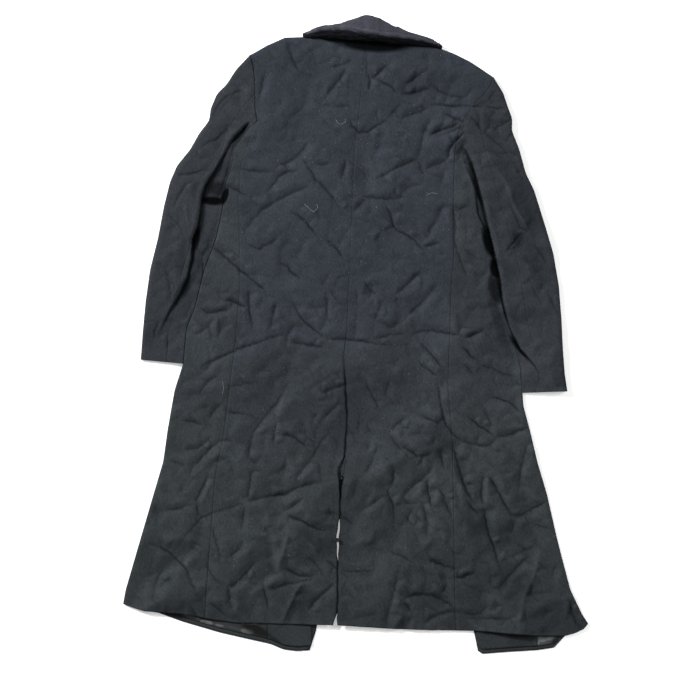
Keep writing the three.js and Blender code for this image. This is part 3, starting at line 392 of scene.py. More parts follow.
# Beside each fold the cloth stands in a bank, higher on one side. Flat plates lie between the folds, and
# each sharper valley between two of them is pinched
BANK_SHARES = (0.25, 0.6, 0.9)
BANK_REACH = (9, 17)
BANK_ROOM = 5
HIGH_BANK = (0.5, 1.1)
LOW_BANK = (-0.3, 0.3)
HIGH_SIDE = (0.85, 0.5)
PLATE_SEED = 41
PLATE_SPACING = 40
PLATE_JITTER = 0.45
PLATE_SPREAD = 2.7
PLATE_ROOM = 10
CROSSING_LEVEL = -1.0
LEAST_FACET = 0.01
PINCH_WIDTH = 1.5
PINCH_SHARE = 2.6
MOST_PINCH = 1.7
STROKE_SHARE = 0.9
STROKE_STEEPNESS, STROKE_ROUNDING = 1.3, 0.05
SLOW_SIDE = 1.9

# A broad swell lies under the plates and a fine crumple on them
CRUMPLE_SEED, SWELL_SEED = 7, 19
CRUMPLE_SPACING = 15
CRUMPLE_SPREAD = 0.75
CRUMPLE_PINCH = 0.5
SWELL_SPACING = 78
SWELL_SPREAD = 3.3
LOOSE_JITTER = 0.48

map_x, map_y = np.meshgrid(
    np.arange(RELIEF_LOW[0], RELIEF_HIGH[0], RELIEF_PITCH),
    np.arange(RELIEF_LOW[1], RELIEF_HIGH[1], RELIEF_PITCH),
)


def crease_path(points):
    """A slightly unsteady run of places through the given points, about one step apart."""
    corners = np.array([photo_to_mm(point) for point in points])
    length = np.concatenate([[0], np.cumsum(np.linalg.norm(np.diff(corners, axis=0), axis=1))])
    wanted = np.linspace(0, length[-1], max(4, round(length[-1] / CREASE_STEP)))
    path = np.stack([np.interp(wanted, length, corners[:, axis]) for axis in (0, 1)], axis=1)
    return path + WAVER * np.sin(path[:, ::-1] * WAVER_RATE + WAVER_START)


def fold_levels(rng, count, height):
    """Heights along a fold, uneven and dying away at both ends."""
    along = np.linspace(0, 1, count)
    uneven = 1 + UNEVEN * np.sin(rng.uniform(0, 6) + along * rng.uniform(5, 12))
    return height * uneven * np.clip(4 * along * (1 - along), 0.04, 1) ** END_FADE


def small_folds(rng, taken):
    """Paths and heights of the small folds that find room between the points that are taken."""
    made = []
    for _ in range(SMALL_FOLDS):
        middle = np.array([rng.uniform(*limits) for limits in SMALL_FOLD_AREA])
        headings = SMALL_FOLD_HEADINGS["skirt" if middle[1] < SKIRT_FROM else "upper"]
        heading = math.radians(rng.normal(*headings[rng.integers(len(headings))]))
        reach = rng.uniform(*SMALL_FOLD_LENGTH)
        along = np.linspace(-0.5, 0.5, max(3, round(reach / SMALL_FOLD_STEP)))[:, None]
        bow = rng.normal(0, SMALL_FOLD_BOW) * reach * (1 - 4 * along**2)
        ahead = np.array([math.cos(heading), math.sin(heading)])
        path = middle + reach * along * ahead + bow * np.array([-ahead[1], ahead[0]])
        height = rng.uniform(*SMALL_FOLD_HEIGHT) * (1 if rng.random() < RAISED_SHARE else -1)
        gaps = np.linalg.norm(path[:, None] - np.array(taken)[None], axis=2)
        if gaps.min() > FOLD_ROOM:
            taken.extend(path)
            made.append((path, height))
    return made


def plate_net():
    """Points, edges and heights of the plates that the folds bound."""
    rng = np.random.default_rng(PLATE_SEED)
    points, edges, heights = [], [], []
    folds = [(crease_path(points_seen), -depth * CREASE_DEEPER) for *points_seen, depth, _ in CREASES]
    taken = [point for path, _ in folds for point in path]
    folds += small_folds(rng, taken)
    for path, height in folds:
        first = len(points)
        points.extend(path)
        heights.extend(fold_levels(rng, len(path), height))
        edges.extend((first + index, first + index + 1) for index in range(len(path) - 1))
    for path, height in folds:
        for share in BANK_SHARES:
            index = min(int(share * len(path)), len(path) - 2)
            ahead = path[index + 1] - path[index]
            across = np.array([-ahead[1], ahead[0]]) / np.linalg.norm(ahead)
            for side in (-1, 1):
                high = side * (across @ HIGH_SIDE) > 0
                bank = path[index] + side * across * rng.uniform(*BANK_REACH)
                if np.linalg.norm(np.array(points) - bank, axis=1).min() > BANK_ROOM:
                    points.append(bank)
                    heights.append(-height * rng.uniform(*(HIGH_BANK if high else LOW_BANK)))
    known = np.array(points)
    for x in np.arange(RELIEF_LOW[0], RELIEF_HIGH[0], PLATE_SPACING):
        for y in np.arange(RELIEF_LOW[1], RELIEF_HIGH[1], PLATE_SPACING):
            place = np.array([x, y]) + rng.uniform(-PLATE_JITTER, PLATE_JITTER, 2) * PLATE_SPACING
            level = rng.normal(0, PLATE_SPREAD)
            if np.linalg.norm(known - place, axis=1).min() > PLATE_ROOM:
                points.append(place)
                heights.append(level)
    return points, edges, heights


def loose_net(seed, spacing, spread):
    """Points and heights of plates that no fold bounds."""
    rng = np.random.default_rng(seed)
    xs = np.arange(RELIEF_LOW[0], RELIEF_HIGH[0] + spacing, spacing)
    ys = np.arange(RELIEF_LOW[1], RELIEF_HIGH[1] + spacing, spacing)
    places = np.stack(np.meshgrid(xs, ys), axis=-1).reshape(-1, 2)
    places = places + rng.uniform(-LOOSE_JITTER, LOOSE_JITTER, places.shape) * spacing
    return list(places), [], rng.normal(0, spread, len(places)).tolist()


def cell_at(x, y):
    """Column and row of the map's cell at a place."""
    return int((x - RELIEF_LOW[0]) / RELIEF_PITCH), int((y - RELIEF_LOW[1]) / RELIEF_PITCH)


def facet_map(points, edges, heights, pinch_from):
    """A map of the flat triangles between the points, with each sharper valley pinched to a crease."""
    given = [Vector(point) for point in points]
    corners, _, faces, origins, _, _ = geometry.delaunay_2d_cdt(given, edges, [], 0, 0.01)
    level = np.array([heights[ids[0]] if ids else CROSSING_LEVEL for ids in origins])
    place = np.array([tuple(corner) for corner in corners])
    relief = np.zeros_like(map_x)
    slopes = {}
    for face in faces:
        (ax, ay), (bx, by), (cx, cy) = place[list(face)]
        area = (bx - ax) * (cy - ay) - (cx - ax) * (by - ay)
        if abs(area) < LEAST_FACET:
            continue
        rise_b, rise_c = level[face[1]] - level[face[0]], level[face[2]] - level[face[0]]
        slope_x = rise_b * (cy - ay) - rise_c * (by - ay)
        slope_y = rise_c * (bx - ax) - rise_b * (cx - ax)
        slope = np.array([slope_x, slope_y]) / area
        centre = np.array([ax + bx + cx, ay + by + cy]) / 3
        for index in range(3):
            edge = tuple(sorted((face[index], face[index - 1])))
            slopes.setdefault(edge, []).append((slope, centre))
        left, low = cell_at(min(ax, bx, cx), min(ay, by, cy))
        right, high = cell_at(max(ax, bx, cx), max(ay, by, cy))
        window = np.s_[max(low, 0) : high + 2, max(left, 0) : right + 2]
        px, py = map_x[window] - ax, map_y[window] - ay
        u = (px * (cy - ay) - (cx - ax) * py) / area
        v = ((bx - ax) * py - px * (by - ay)) / area
        inside = (u >= -0.001) & (v >= -0.001) & (u + v <= 1.001)
        a, b, c = level[list(face)]
        relief[window][inside] = (a + u * (b - a) + v * (c - a))[inside]
    pinches = np.zeros_like(map_x)
    for (start, end), pair in slopes.items():
        if len(pair) < 2:
            continue
        (slope_a, centre_a), (slope_b, centre_b) = pair
        across = centre_b - centre_a
        bend = (slope_b - slope_a) @ across / np.linalg.norm(across)
        if bend > pinch_from:
            window, distance, _, _ = near_path(place[[start, end]], 4 * PINCH_WIDTH)
            depth = min(PINCH_SHARE * (bend - pinch_from), MOST_PINCH)
            pinches[window] = np.minimum(pinches[window], -depth * np.exp(-distance / PINCH_WIDTH))
    return relief, pinches


def blur(values, reach):
    """A map without the detail that is finer than the reach."""
    cells = reach / RELIEF_PITCH
    span = np.arange(-math.ceil(3 * cells), math.ceil(3 * cells) + 1)
    weights = np.exp(-0.5 * (span / cells) ** 2)
    weights /= weights.sum()
    edge = len(span) // 2
    values = np.pad(values, edge, mode="edge")
    for axis in (0, 1):
        values = np.apply_along_axis(np.convolve, axis, values, weights, "valid")
    return values


def near_path(path, margin):
    """The map's cells near a path: the window, and each cell's distance, side and share along it."""
    (left, bottom), (right, top) = cell_at(*(path.min(0) - margin)), cell_at(*(path.max(0) + margin))
    window = np.s_[max(0, bottom) : max(0, top) + 1, max(0, left) : max(0, right) + 1]
    px, py = map_x[window], map_y[window]
    distance, side, along = np.full(px.shape, 1e9), np.zeros_like(px), np.zeros_like(px)
    for index in range(len(path) - 1):
        ax, ay = path[index]
        dx, dy = path[index + 1] - path[index]
        share = np.clip(((px - ax) * dx + (py - ay) * dy) / (dx * dx + dy * dy), 0, 1)
        gap = np.hypot(px - ax - share * dx, py - ay - share * dy)
        closer = gap < distance
        distance = np.where(closer, gap, distance)
        side = np.where(closer, np.sign(dx * (py - ay) - dy * (px - ax)), side)
        along = np.where(closer, (index + share) / (len(path) - 1), along)
    return window, distance, side, along


def crease_strokes(creases):
    """A map of the narrow trough at the bottom of each crease, steeper on one side."""
    relief = np.zeros_like(map_x)
    for *points, depth, width in creases:
        window, distance, side, along = near_path(crease_path(points), 9 * width)
        across = side * distance / width
        across = np.where(across < 0, across / SLOW_SIDE, across)
        fade = np.clip(4 * along * (1 - along), 0, 1) ** 0.7
        away = np.sqrt(across**2 + STROKE_ROUNDING)
        relief[window] -= STROKE_SHARE * depth * fade * np.exp(0.3 - STROKE_STEEPNESS * away)
    return relief


def sample(values, x, y):
    """A map read at any place between its cells."""
    column = np.clip((x - RELIEF_LOW[0]) / RELIEF_PITCH, 0, values.shape[1] - 1.001)
    row = np.clip((y - RELIEF_LOW[1]) / RELIEF_PITCH, 0, values.shape[0] - 1.001)
    left, low = column.astype(int), row.astype(int)
    across, up = column - left, row - low
    lower = values[low, left] * (1 - across) + values[low, left + 1] * across
    upper = values[low + 1, left] * (1 - across) + values[low + 1, left + 1] * across
    return lower * (1 - up) + upper * up


# Deep hollows and shaded patches in the photograph's pixels: centre, half length, half width, heading and
# depth from 0 to 1. Each is sunk into the relief and painted dark as shade; the first three are the painted
# shadow under the collar's fall.
SHADED_HOLLOWS = [
    ((373, 44), 35, 8.5, -4, 1.0),
    ((338, 40), 18, 4.0, -10, 0.9),
    ((415, 44.5), 24, 2.2, -2, 0.9),
    ((217.5, 189), 9, 7.5, 0, 0.66),
    ((213, 201), 11.5, 4.4, -3, 1.0),
    ((224.8, 196.5), 3.6, 9, -18, 1.0),
    ((196.5, 239), 3.6, 12, -10, 0.9),
    ((184, 291), 4.5, 19, -32, 0.5),
    ((489.5, 242), 6, 16, 14, 1.0),
    ((495.5, 269), 5.2, 10, 10, 1.0),
    ((495.5, 290), 6, 14, 10, 0.8),
    ((499, 322), 5, 30, 16, 0.4),
    ((478, 186), 4, 26, 18, 0.75),
    ((518.5, 347), 2.8, 15, 38, 0.9),
    ((459, 148), 5, 9, -30, 0.6),
    ((240, 134), 2.4, 12, -42, 0.8),
    ((250, 512), 16, 5, 10, 0.18),
    ((306, 605), 9, 17, -10, 0.25),
    ((512, 585), 16, 24, 30, 0.3),
    ((436, 84), 40, 13, -6, 0.22),
    ((516, 239), 6, 8, 30, 0.45),
    ((424, 600), 24, 8, 0, 0.2),
    ((437, 438), 9, 24, 4, 0.2),
    ((476, 530), 8, 26, 16, 0.25),
    ((404, 580), 8, 34, 4, 0.22),
    ((482, 522), 7, 22, 12, 0.26),
    ((462, 470), 5, 20, 18, 0.22),
    ((408, 545), 9, 20, 10, 0.16),
    ((330, 548), 12, 8, -20, 0.2),
    ((305, 535), 9, 6, -30, 0.22),
    ((256, 486), 5, 16, -12, 0.18),
    ((196, 520), 5, 18, -8, 0.16),
]
HOLLOW_DEPTH = 6
# How strongly light and shade are painted into the cloth's colour: painted shade in the hollows, valleys and
# broad dips, a painted highlight on ridges, and paler or darker as a plate leans to or from the light
HOLLOW_SHADE = 0.94
VALLEY_SHADE = 0.46
RIDGE_HIGHLIGHT = 0.11
MOST_CURL = (-1.2, 1.6)
BROAD_SHADE = 0.075
MOST_SUNK = (-1.6, 3.0)
MOST_LEAN = 0.22
LEAN_TO = (0.85, -0.52)

# How strong the relief, the painted light on leaning plates and the tones are from place to place:
# millimetres of X or Y, then the strengths
SWELL_BY_Y = (-260, 40), (1.45, 1.0)
SWELL_BY_X = (-140, 60), (0.75, 1.0)
CALM, RESTLESS = 0.78, 0.22
RESTLESS_BY_X = (-60, 80), (0, 1)
RESTLESS_BY_Y = (-200, -60), (1, 0)
LEAN_BY_Y = (-260, 40), (1.0, 0.6)
LEAN_OF_PLATES = 0.45
TONE_BY_Y = (-520, -360), (0.9, 1.0)


def patch_map(patches):
    """A map of oval patches, with a sharper edge to the deeper ones."""
    relief = np.zeros_like(map_x)
    for centre, half_length, half_width, heading, depth in patches:
        cx, cy = photo_to_mm(centre)
        turn = math.radians(heading)
        u = (map_x - cx) * math.cos(turn) + (map_y - cy) * math.sin(turn)
        v = (map_y - cy) * math.cos(turn) - (map_x - cx) * math.sin(turn)
        away = np.hypot(u / (half_length * MM_PER_PIXEL), v / (half_width * MM_PER_PIXEL))
        soft = 1.1 - 0.7 * depth
        relief = np.maximum(relief, depth * np.clip((1 + soft / 2 - away) / soft, 0, 1))
    return relief


def painted_light_and_shade(relief, shaded_hollow, lean):
    """Painted light and shade: darker in a valley and a broad dip, paler on a ridge and a broad rise, darkest
    in the hollows, and paler or darker as a plate leans to or from the light."""
    curl = np.clip(blur(relief, reach=2.4) - relief, *MOST_CURL)
    sunk = np.clip(blur(relief, reach=9) - relief, *MOST_SUNK)
    tone = 1 - VALLEY_SHADE * np.maximum(curl, 0) + RIDGE_HIGHLIGHT * np.maximum(-curl, 0)
    return tone * (1 - BROAD_SHADE * sunk) * (1 - HOLLOW_SHADE * shaded_hollow) * (1 + lean)


shaded_hollow = patch_map(SHADED_HOLLOWS)
plates, plate_pinches = facet_map(*plate_net(), pinch_from=0.1)
crumple_net = loose_net(CRUMPLE_SEED, CRUMPLE_SPACING, CRUMPLE_SPREAD)
crumple, crumple_pinches = facet_map(*crumple_net, pinch_from=0.09)
swell_net = loose_net(SWELL_SEED, SWELL_SPACING, SWELL_SPREAD)
swell, _ = facet_map(*swell_net, pinch_from=1.0)
swell *= np.interp(map_y, *SWELL_BY_Y) * np.interp(map_x, *SWELL_BY_X)
restless = CALM + RESTLESS * np.interp(map_x, *RESTLESS_BY_X) * np.interp(map_y, *RESTLESS_BY_Y)
wool_map = blur(plates, reach=1.5) + blur(crumple, reach=1.2) + plate_pinches
wool_map += CRUMPLE_PINCH * crumple_pinches
wool_map = blur(swell, reach=4) + restless * wool_map + crease_strokes(CREASES)
# Painted light and shade for the body: a plate is painted paler where it leans to the light and darker where
# it leans away, with its valleys, ridges and hollows painted too; it also grows darker towards the hem.
fall_y, fall_x = np.gradient(blur(swell + LEAN_OF_PLATES * plates, reach=2.5), RELIEF_PITCH)
lean = (fall_x * LEAN_TO[0] + fall_y * LEAN_TO[1]) * np.interp(map_y, *LEAN_BY_Y)
lean = MOST_LEAN * np.tanh(lean / MOST_LEAN)
body_light_and_shade = painted_light_and_shade(wool_map, shaded_hollow, lean) * np.interp(map_y, *TONE_BY_Y)
wool_map -= HOLLOW_DEPTH * shaded_hollow


def read(table, key, place, column):
    """One column of a table at places between its rows."""
    keys, values = table[key], table[column]
    if keys[0] > keys[-1]:
        keys, values = keys[::-1], values[::-1]
    return np.interp(place, keys, values)


def soften(values, reach):
    """A line of values with its corners rounded over a number of places to each side."""
    padded = np.pad(values, reach, mode="reflect", reflect_type="odd")
    window = np.hanning(2 * reach + 3)[1:-1]
    return np.convolve(padded, window / window.sum(), mode="valid")


def over_least(height):
    """A height that never falls below what the cloth beneath needs."""
    return LEAST_HEIGHT + np.logaddexp(0, (height - LEAST_HEIGHT) * LEAST_BEND) / LEAST_BEND


def body_height(x, y):
    """Face of the body's upper layer, before its upper edge rolls down."""
    return over_least(read(BODY_LOFT, "y", y, "z") + sample(wool_map, x, y))


def back_height(x, y):
    """Face of the back, with its roll down to the shoulder's edge."""
    inset = np.clip((read(BACK_TOP, "x", x, "y") - y) / SHOULDER_ROLL, 0, 1)
    roll = np.sqrt(1 - (1 - inset) ** 2)
    edge = read(BACK_TOP, "x", x, "z")
    return edge + (body_height(x, y) - edge) * roll


def row_y(x, row, top, hem):
    """Y of a row at a place across it. Rows 0 to 1 are the yoke, and 1 to 2 run from armpit to hem."""
    armpit = read(ARMPIT_LINE, "x", x, "y")
    upper, lower = read(top, "x", x, "y"), read(hem, "x", x, "y")
    return np.where(row <= 1, upper + (armpit - upper) * row, armpit + (lower - armpit) * (row - 1))


def row_meets(line, column, rows, top, hem, reach=5):
    """X where each row meets a line that is given as x by y."""
    x = np.full(rows.shape, float(line[column][0]))
    for _ in range(MEETING_STEPS):
        x = read(line, "y", row_y(x, rows, top, hem), column)
    return soften(x, reach)


YOKE_ROWS = np.linspace(0, 1, 66)
SKIRT_ROWS = np.linspace(1, 2, round(SKIRT_LENGTH / GRID_PITCH))
BODY_ROWS = np.concatenate([YOKE_ROWS, SKIRT_ROWS[1:]])


def cloth_object(node, x, y, z, material, tone=None, thickness=WOOL):
    """A cloth shell in a node's place, from a grid of places on its outer face in millimetres."""
    rows, columns = x.shape
    points = np.stack([x, y, z], axis=-1).reshape(-1, 3) * MM
    index = np.arange(rows * columns).reshape(rows, columns)
    around = [index[:-1, :-1], index[1:, :-1], index[1:, 1:], index[:-1, 1:]]
    quads = np.stack(around, axis=-1).reshape(-1, 4)
    edge_a = points[quads[:, 1]] - points[quads[:, 0]]
    edge_b = points[quads[:, 3]] - points[quads[:, 0]]
    upward = np.cross(edge_a, edge_b)[:, 2]
    if upward[: columns // 2].sum() < 0:
        quads = quads[:, ::-1]
    mesh = bpy.data.meshes.new(f"{node}_cloth")
    mesh.from_pydata(points.tolist(), [], quads.tolist())
    mesh.polygons.foreach_set("use_smooth", [True] * len(quads))
    mesh.materials.append(material)
    # The tones are painted light and shade, kept on the mesh for the materials to multiply into the dye.
    tones = np.ones(x.shape) if tone is None else tone
    mesh.attributes.new("painted_light_and_shade", "FLOAT", "POINT").data.foreach_set("value", tones.reshape(-1))
    made = bpy.data.objects.new(f"{node}_cloth", mesh)
    bpy.context.scene.collection.objects.link(made)
    wall = made.modifiers.new("cloth_thickness", "SOLIDIFY")
    wall.thickness = thickness * MM
    wall.offset = -1
    wall.use_even_offset = False
    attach(made, "root")
    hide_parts(node)
    return made


# Heavy melton is woven wool that is milled and brushed until a short matted nap hides the weave. That
# gives a dull face with no gloss, a faint pale bloom at glancing angles and a slight up-and-down grain.
# The nap is drawn about four times as coarse as it is, so that it shows at this distance.
NAP_COARSE = 2.4 * MM
NAP_FLECK = 0.7
MOTTLE = 120 * MM


def melton(name, upper_hex, lower_hex):
    """Melton whose dye fades from the upper back's colour to the skirt's."""
    material, tree, output = new_material(name)
    places = add_node(tree, "ShaderNodeTexCoord").outputs["Object"]
    height = add_node(tree, "ShaderNodeSeparateXYZ", links={"Vector": places}).outputs["Y"]
    to_hem = {"From Min": 0.15, "From Max": -0.35, "To Min": 0.0, "To Max": 1.0}
    fade = add_node(tree, "ShaderNodeMapRange", to_hem, {"Value": height}).outputs["Result"]
    colours = {"Color1": linear(upper_hex), "Color2": linear(lower_hex)}
    dye = add_node(tree, "ShaderNodeMixRGB", colours, {"Fac": fade}).outputs["Color"]
    coarse = {"Scale": 1 / MOTTLE, "Detail": 5.0, "Roughness": 0.6}
    mottle = add_node(tree, "ShaderNodeTexNoise", coarse, {"Vector": places}).outputs["Fac"]
    grain = add_node(tree, "ShaderNodeMapping", {"Scale": (1.0, 0.45, 1.0)}, {"Vector": places})
    fine = {"Scale": 1 / NAP_COARSE, "Detail": 3.0, "Roughness": 0.7}
    nap = add_node(tree, "ShaderNodeTexNoise", fine, {"Vector": grain.outputs["Vector"]}).outputs["Fac"]
    mottled = {"From Min": 0.3, "From Max": 0.7, "To Min": 0.86, "To Max": 1.14}
    gain = add_node(tree, "ShaderNodeMapRange", mottled, {"Value": mottle}).outputs["Result"]
    flecked = {"From Min": 0.25, "From Max": 0.75, "To Min": 1 - NAP_FLECK / 2, "To Max": 1 + NAP_FLECK / 2}
    nap_gain = add_node(tree, "ShaderNodeMapRange", flecked, {"Value": nap}).outputs["Result"]
    # The painted light and shade on the mesh scales the dye.
    tone = add_node(tree, "ShaderNodeAttribute", {"attribute_name": "painted_light_and_shade"}).outputs["Fac"]
    for factor in (nap_gain, tone):
        product = add_node(tree, "ShaderNodeMath", {"operation": "MULTIPLY"})
        tree.links.new(gain, product.inputs[0])
        tree.links.new(factor, product.inputs[1])
        gain = product.outputs["Value"]
    shade = add_node(tree, "ShaderNodeVectorMath", {"operation": "SCALE"}, {"Scale": gain})
    tree.links.new(dye, shade.inputs[0])
    bump = add_node(tree, "ShaderNodeBump", {"Strength": 0.35, "Distance": 0.6 * MM}, {"Height": nap})
    shader = add_node(
        tree,
        "ShaderNodeBsdfPrincipled",
        {
            "Roughness": 0.94,
            "Specular IOR Level": 0.02,
            "Sheen Weight": 0.025,
            "Sheen Roughness": 0.5,
            "Sheen Tint": linear("#B9C0CC"),
        },
        {"Base Color": shade.outputs["Vector"], "Normal": bump.outputs["Normal"]},
    )
    tree.links.new(shader.outputs["BSDF"], output.inputs["Surface"])
    return material


WOOL_BODY = melton("melton_body", "#2C3036", "#2D3133")
PANEL_COLUMNS = 104
COLUMN_CROWDING = 1.15
SHOULDER_SHARE = 0.03
SEAM_END, SEAM_FADE = -45, 20
VENT_TOP, VENT_FADE = -40, 50
# The edges of the vent waver in waves of a height, a rate in radians a millimetre, and a start
VENT_WAVES = ((0.5, 0.19, 0), (0.4, 0.083, 1))
LAP_WIDTH = 22
UNDERLAY_ROOM = 0.7
HEM_RIDGE, HEM_RIDGE_WIDTH = 0.9, 3.0
# The right edge's painted shadow darkens the left panel beside it, and each edge has a rim of painted shade:
# how dark, and how wide
EDGE_SHADE, EDGE_SHADE_WIDTH, EDGE_SHADE_SHIFT = 0.85, 2.2, 0.8
EDGE_SHADE_UNEVEN = 0.5
RIM_SHADE, RIM_WIDTH = 0.8, 1.3


def centre_lap(x, y, outward, edge_x):
    """How far a back panel stands up or lies down beside the vent."""
    near = np.exp(-(((x - edge_x) / LAP_WIDTH) ** 2))
    return outward * LAP_LIFT * read(CENTRE_BACK, "y", y, "lift") * near


def seam_dip(distance, depth=0.5, reach=1.8):
    """The pull of a seam on the cloth beside it."""
    return -depth * np.exp(-((distance / reach) ** 2))


def hem_ridge(x, y):
    """The turned-up hem, as a low ridge along the panel's end."""
    return HEM_RIDGE * np.exp(-(((y - read(BACK_HEM, "x", x, "y")) / HEM_RIDGE_WIDTH) ** 2))


def below_vent_top(y):
    """0 above the vent and 1 well below its top."""
    return np.clip((VENT_TOP - y) / VENT_FADE, 0, 1)


def back_panel(side, outward, armhole, seam):
    """One half of the back, from the armhole and the side seam to the centre."""
    cap_x = read(armhole, "step", YOKE_ROWS[:-1], "x")
    side_x = row_meets(seam, "x", SKIRT_ROWS, BACK_TOP, BACK_HEM)
    outer_x = np.concatenate([cap_x - outward * SLEEVE_GAP, side_x - outward * HALF_SEAM])
    inner_x = row_meets(CENTRE_BACK, side, BODY_ROWS, BACK_TOP, BACK_HEM) + outward * HALF_SEAM
    inner_y = row_y(inner_x, BODY_ROWS, BACK_TOP, BACK_HEM)
    wander = sum(height * np.sin(rate * inner_y + start) for height, rate, start in VENT_WAVES)
    inner_x += wander * below_vent_top(inner_y)
    share = 1 - (1 - np.linspace(0, 1, PANEL_COLUMNS)) ** COLUMN_CROWDING
    inner_x = inner_x[:, None]
    x = outer_x[:, None] * (1 - share) + inner_x * share
    rows = np.repeat(BODY_ROWS[:, None], PANEL_COLUMNS, axis=1)
    y = row_y(x, rows, BACK_TOP, BACK_HEM)
    z = back_height(x, y) + centre_lap(x, y, outward, inner_x)
    z += seam_dip(x - outer_x[:, None]) * (rows > SHOULDER_SHARE)
    z += seam_dip(x - inner_x) * np.clip((y - SEAM_END) / SEAM_FADE, 0, 1)
    z += hem_ridge(x, y)
    z = np.maximum(z, LEAST_HEIGHT - UNDERLAY_ROOM)
    # Painted shade in the vent: a shadow on the left panel beside the right edge, and a dark rim along each
    # panel's edge.
    right_edge = read(CENTRE_BACK, "y", y, "right")
    wide = EDGE_SHADE_WIDTH * (1 + EDGE_SHADE_UNEVEN * sample(crumple, np.full_like(y, 40), 1.6 * y))
    shade = EDGE_SHADE * below_vent_top(y) * np.exp(-(((x - right_edge + EDGE_SHADE_SHIFT) / wide) ** 2))
    rim = RIM_SHADE * below_vent_top(y) * np.exp(-(((x - inner_x) / RIM_WIDTH) ** 2))
    tone = sample(body_light_and_shade, x, y) * (1 - (shade if side == "left" else 0)) * (1 - rim)
    return cloth_object(f"back_{side}", x, y, z, WOOL_BODY, tone)


back_left = back_panel("left", -1, ARMHOLE_LEFT, SIDE_SEAM_LEFT)
back_right = back_panel("right", 1, ARMHOLE_RIGHT, SIDE_SEAM_RIGHT)


# The side panels are sewn to the back and roll over the coat's edges to meet the fronts underneath. They
# are the same melton, worn a little greener at the skirt.
SIDE_ROLL = 8
ROLL_BESIDE_SLEEVE = 3
MOST_ROLL_SHARE = 0.8
CUFF_Y = {"left": -58, "right": -116}
CUFF_FADE = 40
SIDE_TURN_UNDER = 45
LEAST_TURN_UNDER = 2
TURN_GROWTH = 420
ROLL_COLUMNS = 7
EDGE_LEFT = {
    "y": [424, 396, 372, 336, 304, 258, 194, 130, 52, 10, -58, -110, -190, -254, -318, -414, -510, -538],
    "x": [-202.5, -225, -241, -247, -258, -264, -277, -301, -321, -338, -344, -361, -375, -384]
    + [-403, -431, -459, -464],
}
EDGE_RIGHT = {
    "y": [404, 374, 340, 292, 241, 216, 148, 38, -10, -64, -142, -190, -254, -318, -414, -510, -558, -578],
    "x": [211.5, 213, 220, 238, 243, 256, 274, 298, 316, 330, 335, 348, 363, 382, 404, 429, 452, 464.5],
}
WOOL_SKIRT = melton("melton_skirt", "#2D3135", "#2D3133")


def roll_around(height, radius, turn):
    """Round an edge from top to underside: inset from the edge and height, for a turn from 1 to -1."""
    angle = turn * math.pi / 2
    return radius * (1 - np.cos(angle)), height / 2 * (1 + np.sin(angle))


def edge_line(edge):
    """X and Y of the body's side edge at each row of the skirt."""
    x = row_meets(edge, "x", SKIRT_ROWS, BACK_TOP, BACK_HEM, 4)
    return x, row_y(x, SKIRT_ROWS, BACK_TOP, BACK_HEM)


def under_seam(edge_x, outward, radius):
    """X of the hidden seam where the side meets the front."""
    turn = np.minimum(SIDE_TURN_UNDER, radius + LEAST_TURN_UNDER + (SKIRT_ROWS - 1) * TURN_GROWTH)
    return edge_x - outward * turn


def roll_radius(side, edge_x, edge_y, seam_x):
    """The side edge's roll is tight where it is pressed against the sleeve, and full below the cuff."""
    free = np.clip((CUFF_Y[side] - edge_y) / CUFF_FADE, 0, 1)
    radius = ROLL_BESIDE_SLEEVE + (SIDE_ROLL - ROLL_BESIDE_SLEEVE) * free
    return np.minimum(radius, MOST_ROLL_SHARE * np.abs(seam_x - edge_x))


def side_panel(side, outward, edge, seam, columns):
    """A side panel, from its seam with the back, round the edge, to its seam underneath."""
    edge_x, edge_y = edge_line(edge)
    seam_x = row_meets(seam, "x", SKIRT_ROWS, BACK_TOP, BACK_HEM) + outward * HALF_SEAM
    edge_x = edge_x - outward * SLEEVE_GAP
    radius = roll_radius(side, edge_x, edge_y, seam_x)
    shoulder_x = edge_x - outward * radius
    share = np.linspace(0, 1, columns)
    x = seam_x[:, None] * (1 - share) + shoulder_x[:, None] * share
    rows = np.repeat(SKIRT_ROWS[:, None], columns, axis=1)
    y = row_y(x, rows, BACK_TOP, BACK_HEM)
    z = body_height(x, y) + seam_dip(x - seam_x[:, None]) + hem_ridge(x, y)
    turned = []
    for turn in np.linspace(1, -1, ROLL_COLUMNS)[1:]:
        inset, height = roll_around(z[:, -1], radius, turn)
        turned.append((edge_x - outward * inset, height))
    under_x = under_seam(edge_x, outward, radius) + outward * HALF_SEAM
    for share_under in (0.5, 1.0):
        turned.append((shoulder_x + (under_x - shoulder_x) * share_under, np.zeros_like(under_x)))
    for line_x, height in turned:
        line_y = row_y(line_x, SKIRT_ROWS, BACK_TOP, BACK_HEM)
        x, y, z = np.column_stack([x, line_x]), np.column_stack([y, line_y]), np.column_stack([z, height])
    return cloth_object(f"side_{side}", x, y, z, WOOL_SKIRT, sample(body_light_and_shade, x, y))


side_left = side_panel("left", -1, EDGE_LEFT, SIDE_SEAM_LEFT, 50)
side_right = side_panel("right", 1, EDGE_RIGHT, SIDE_SEAM_RIGHT, 76)


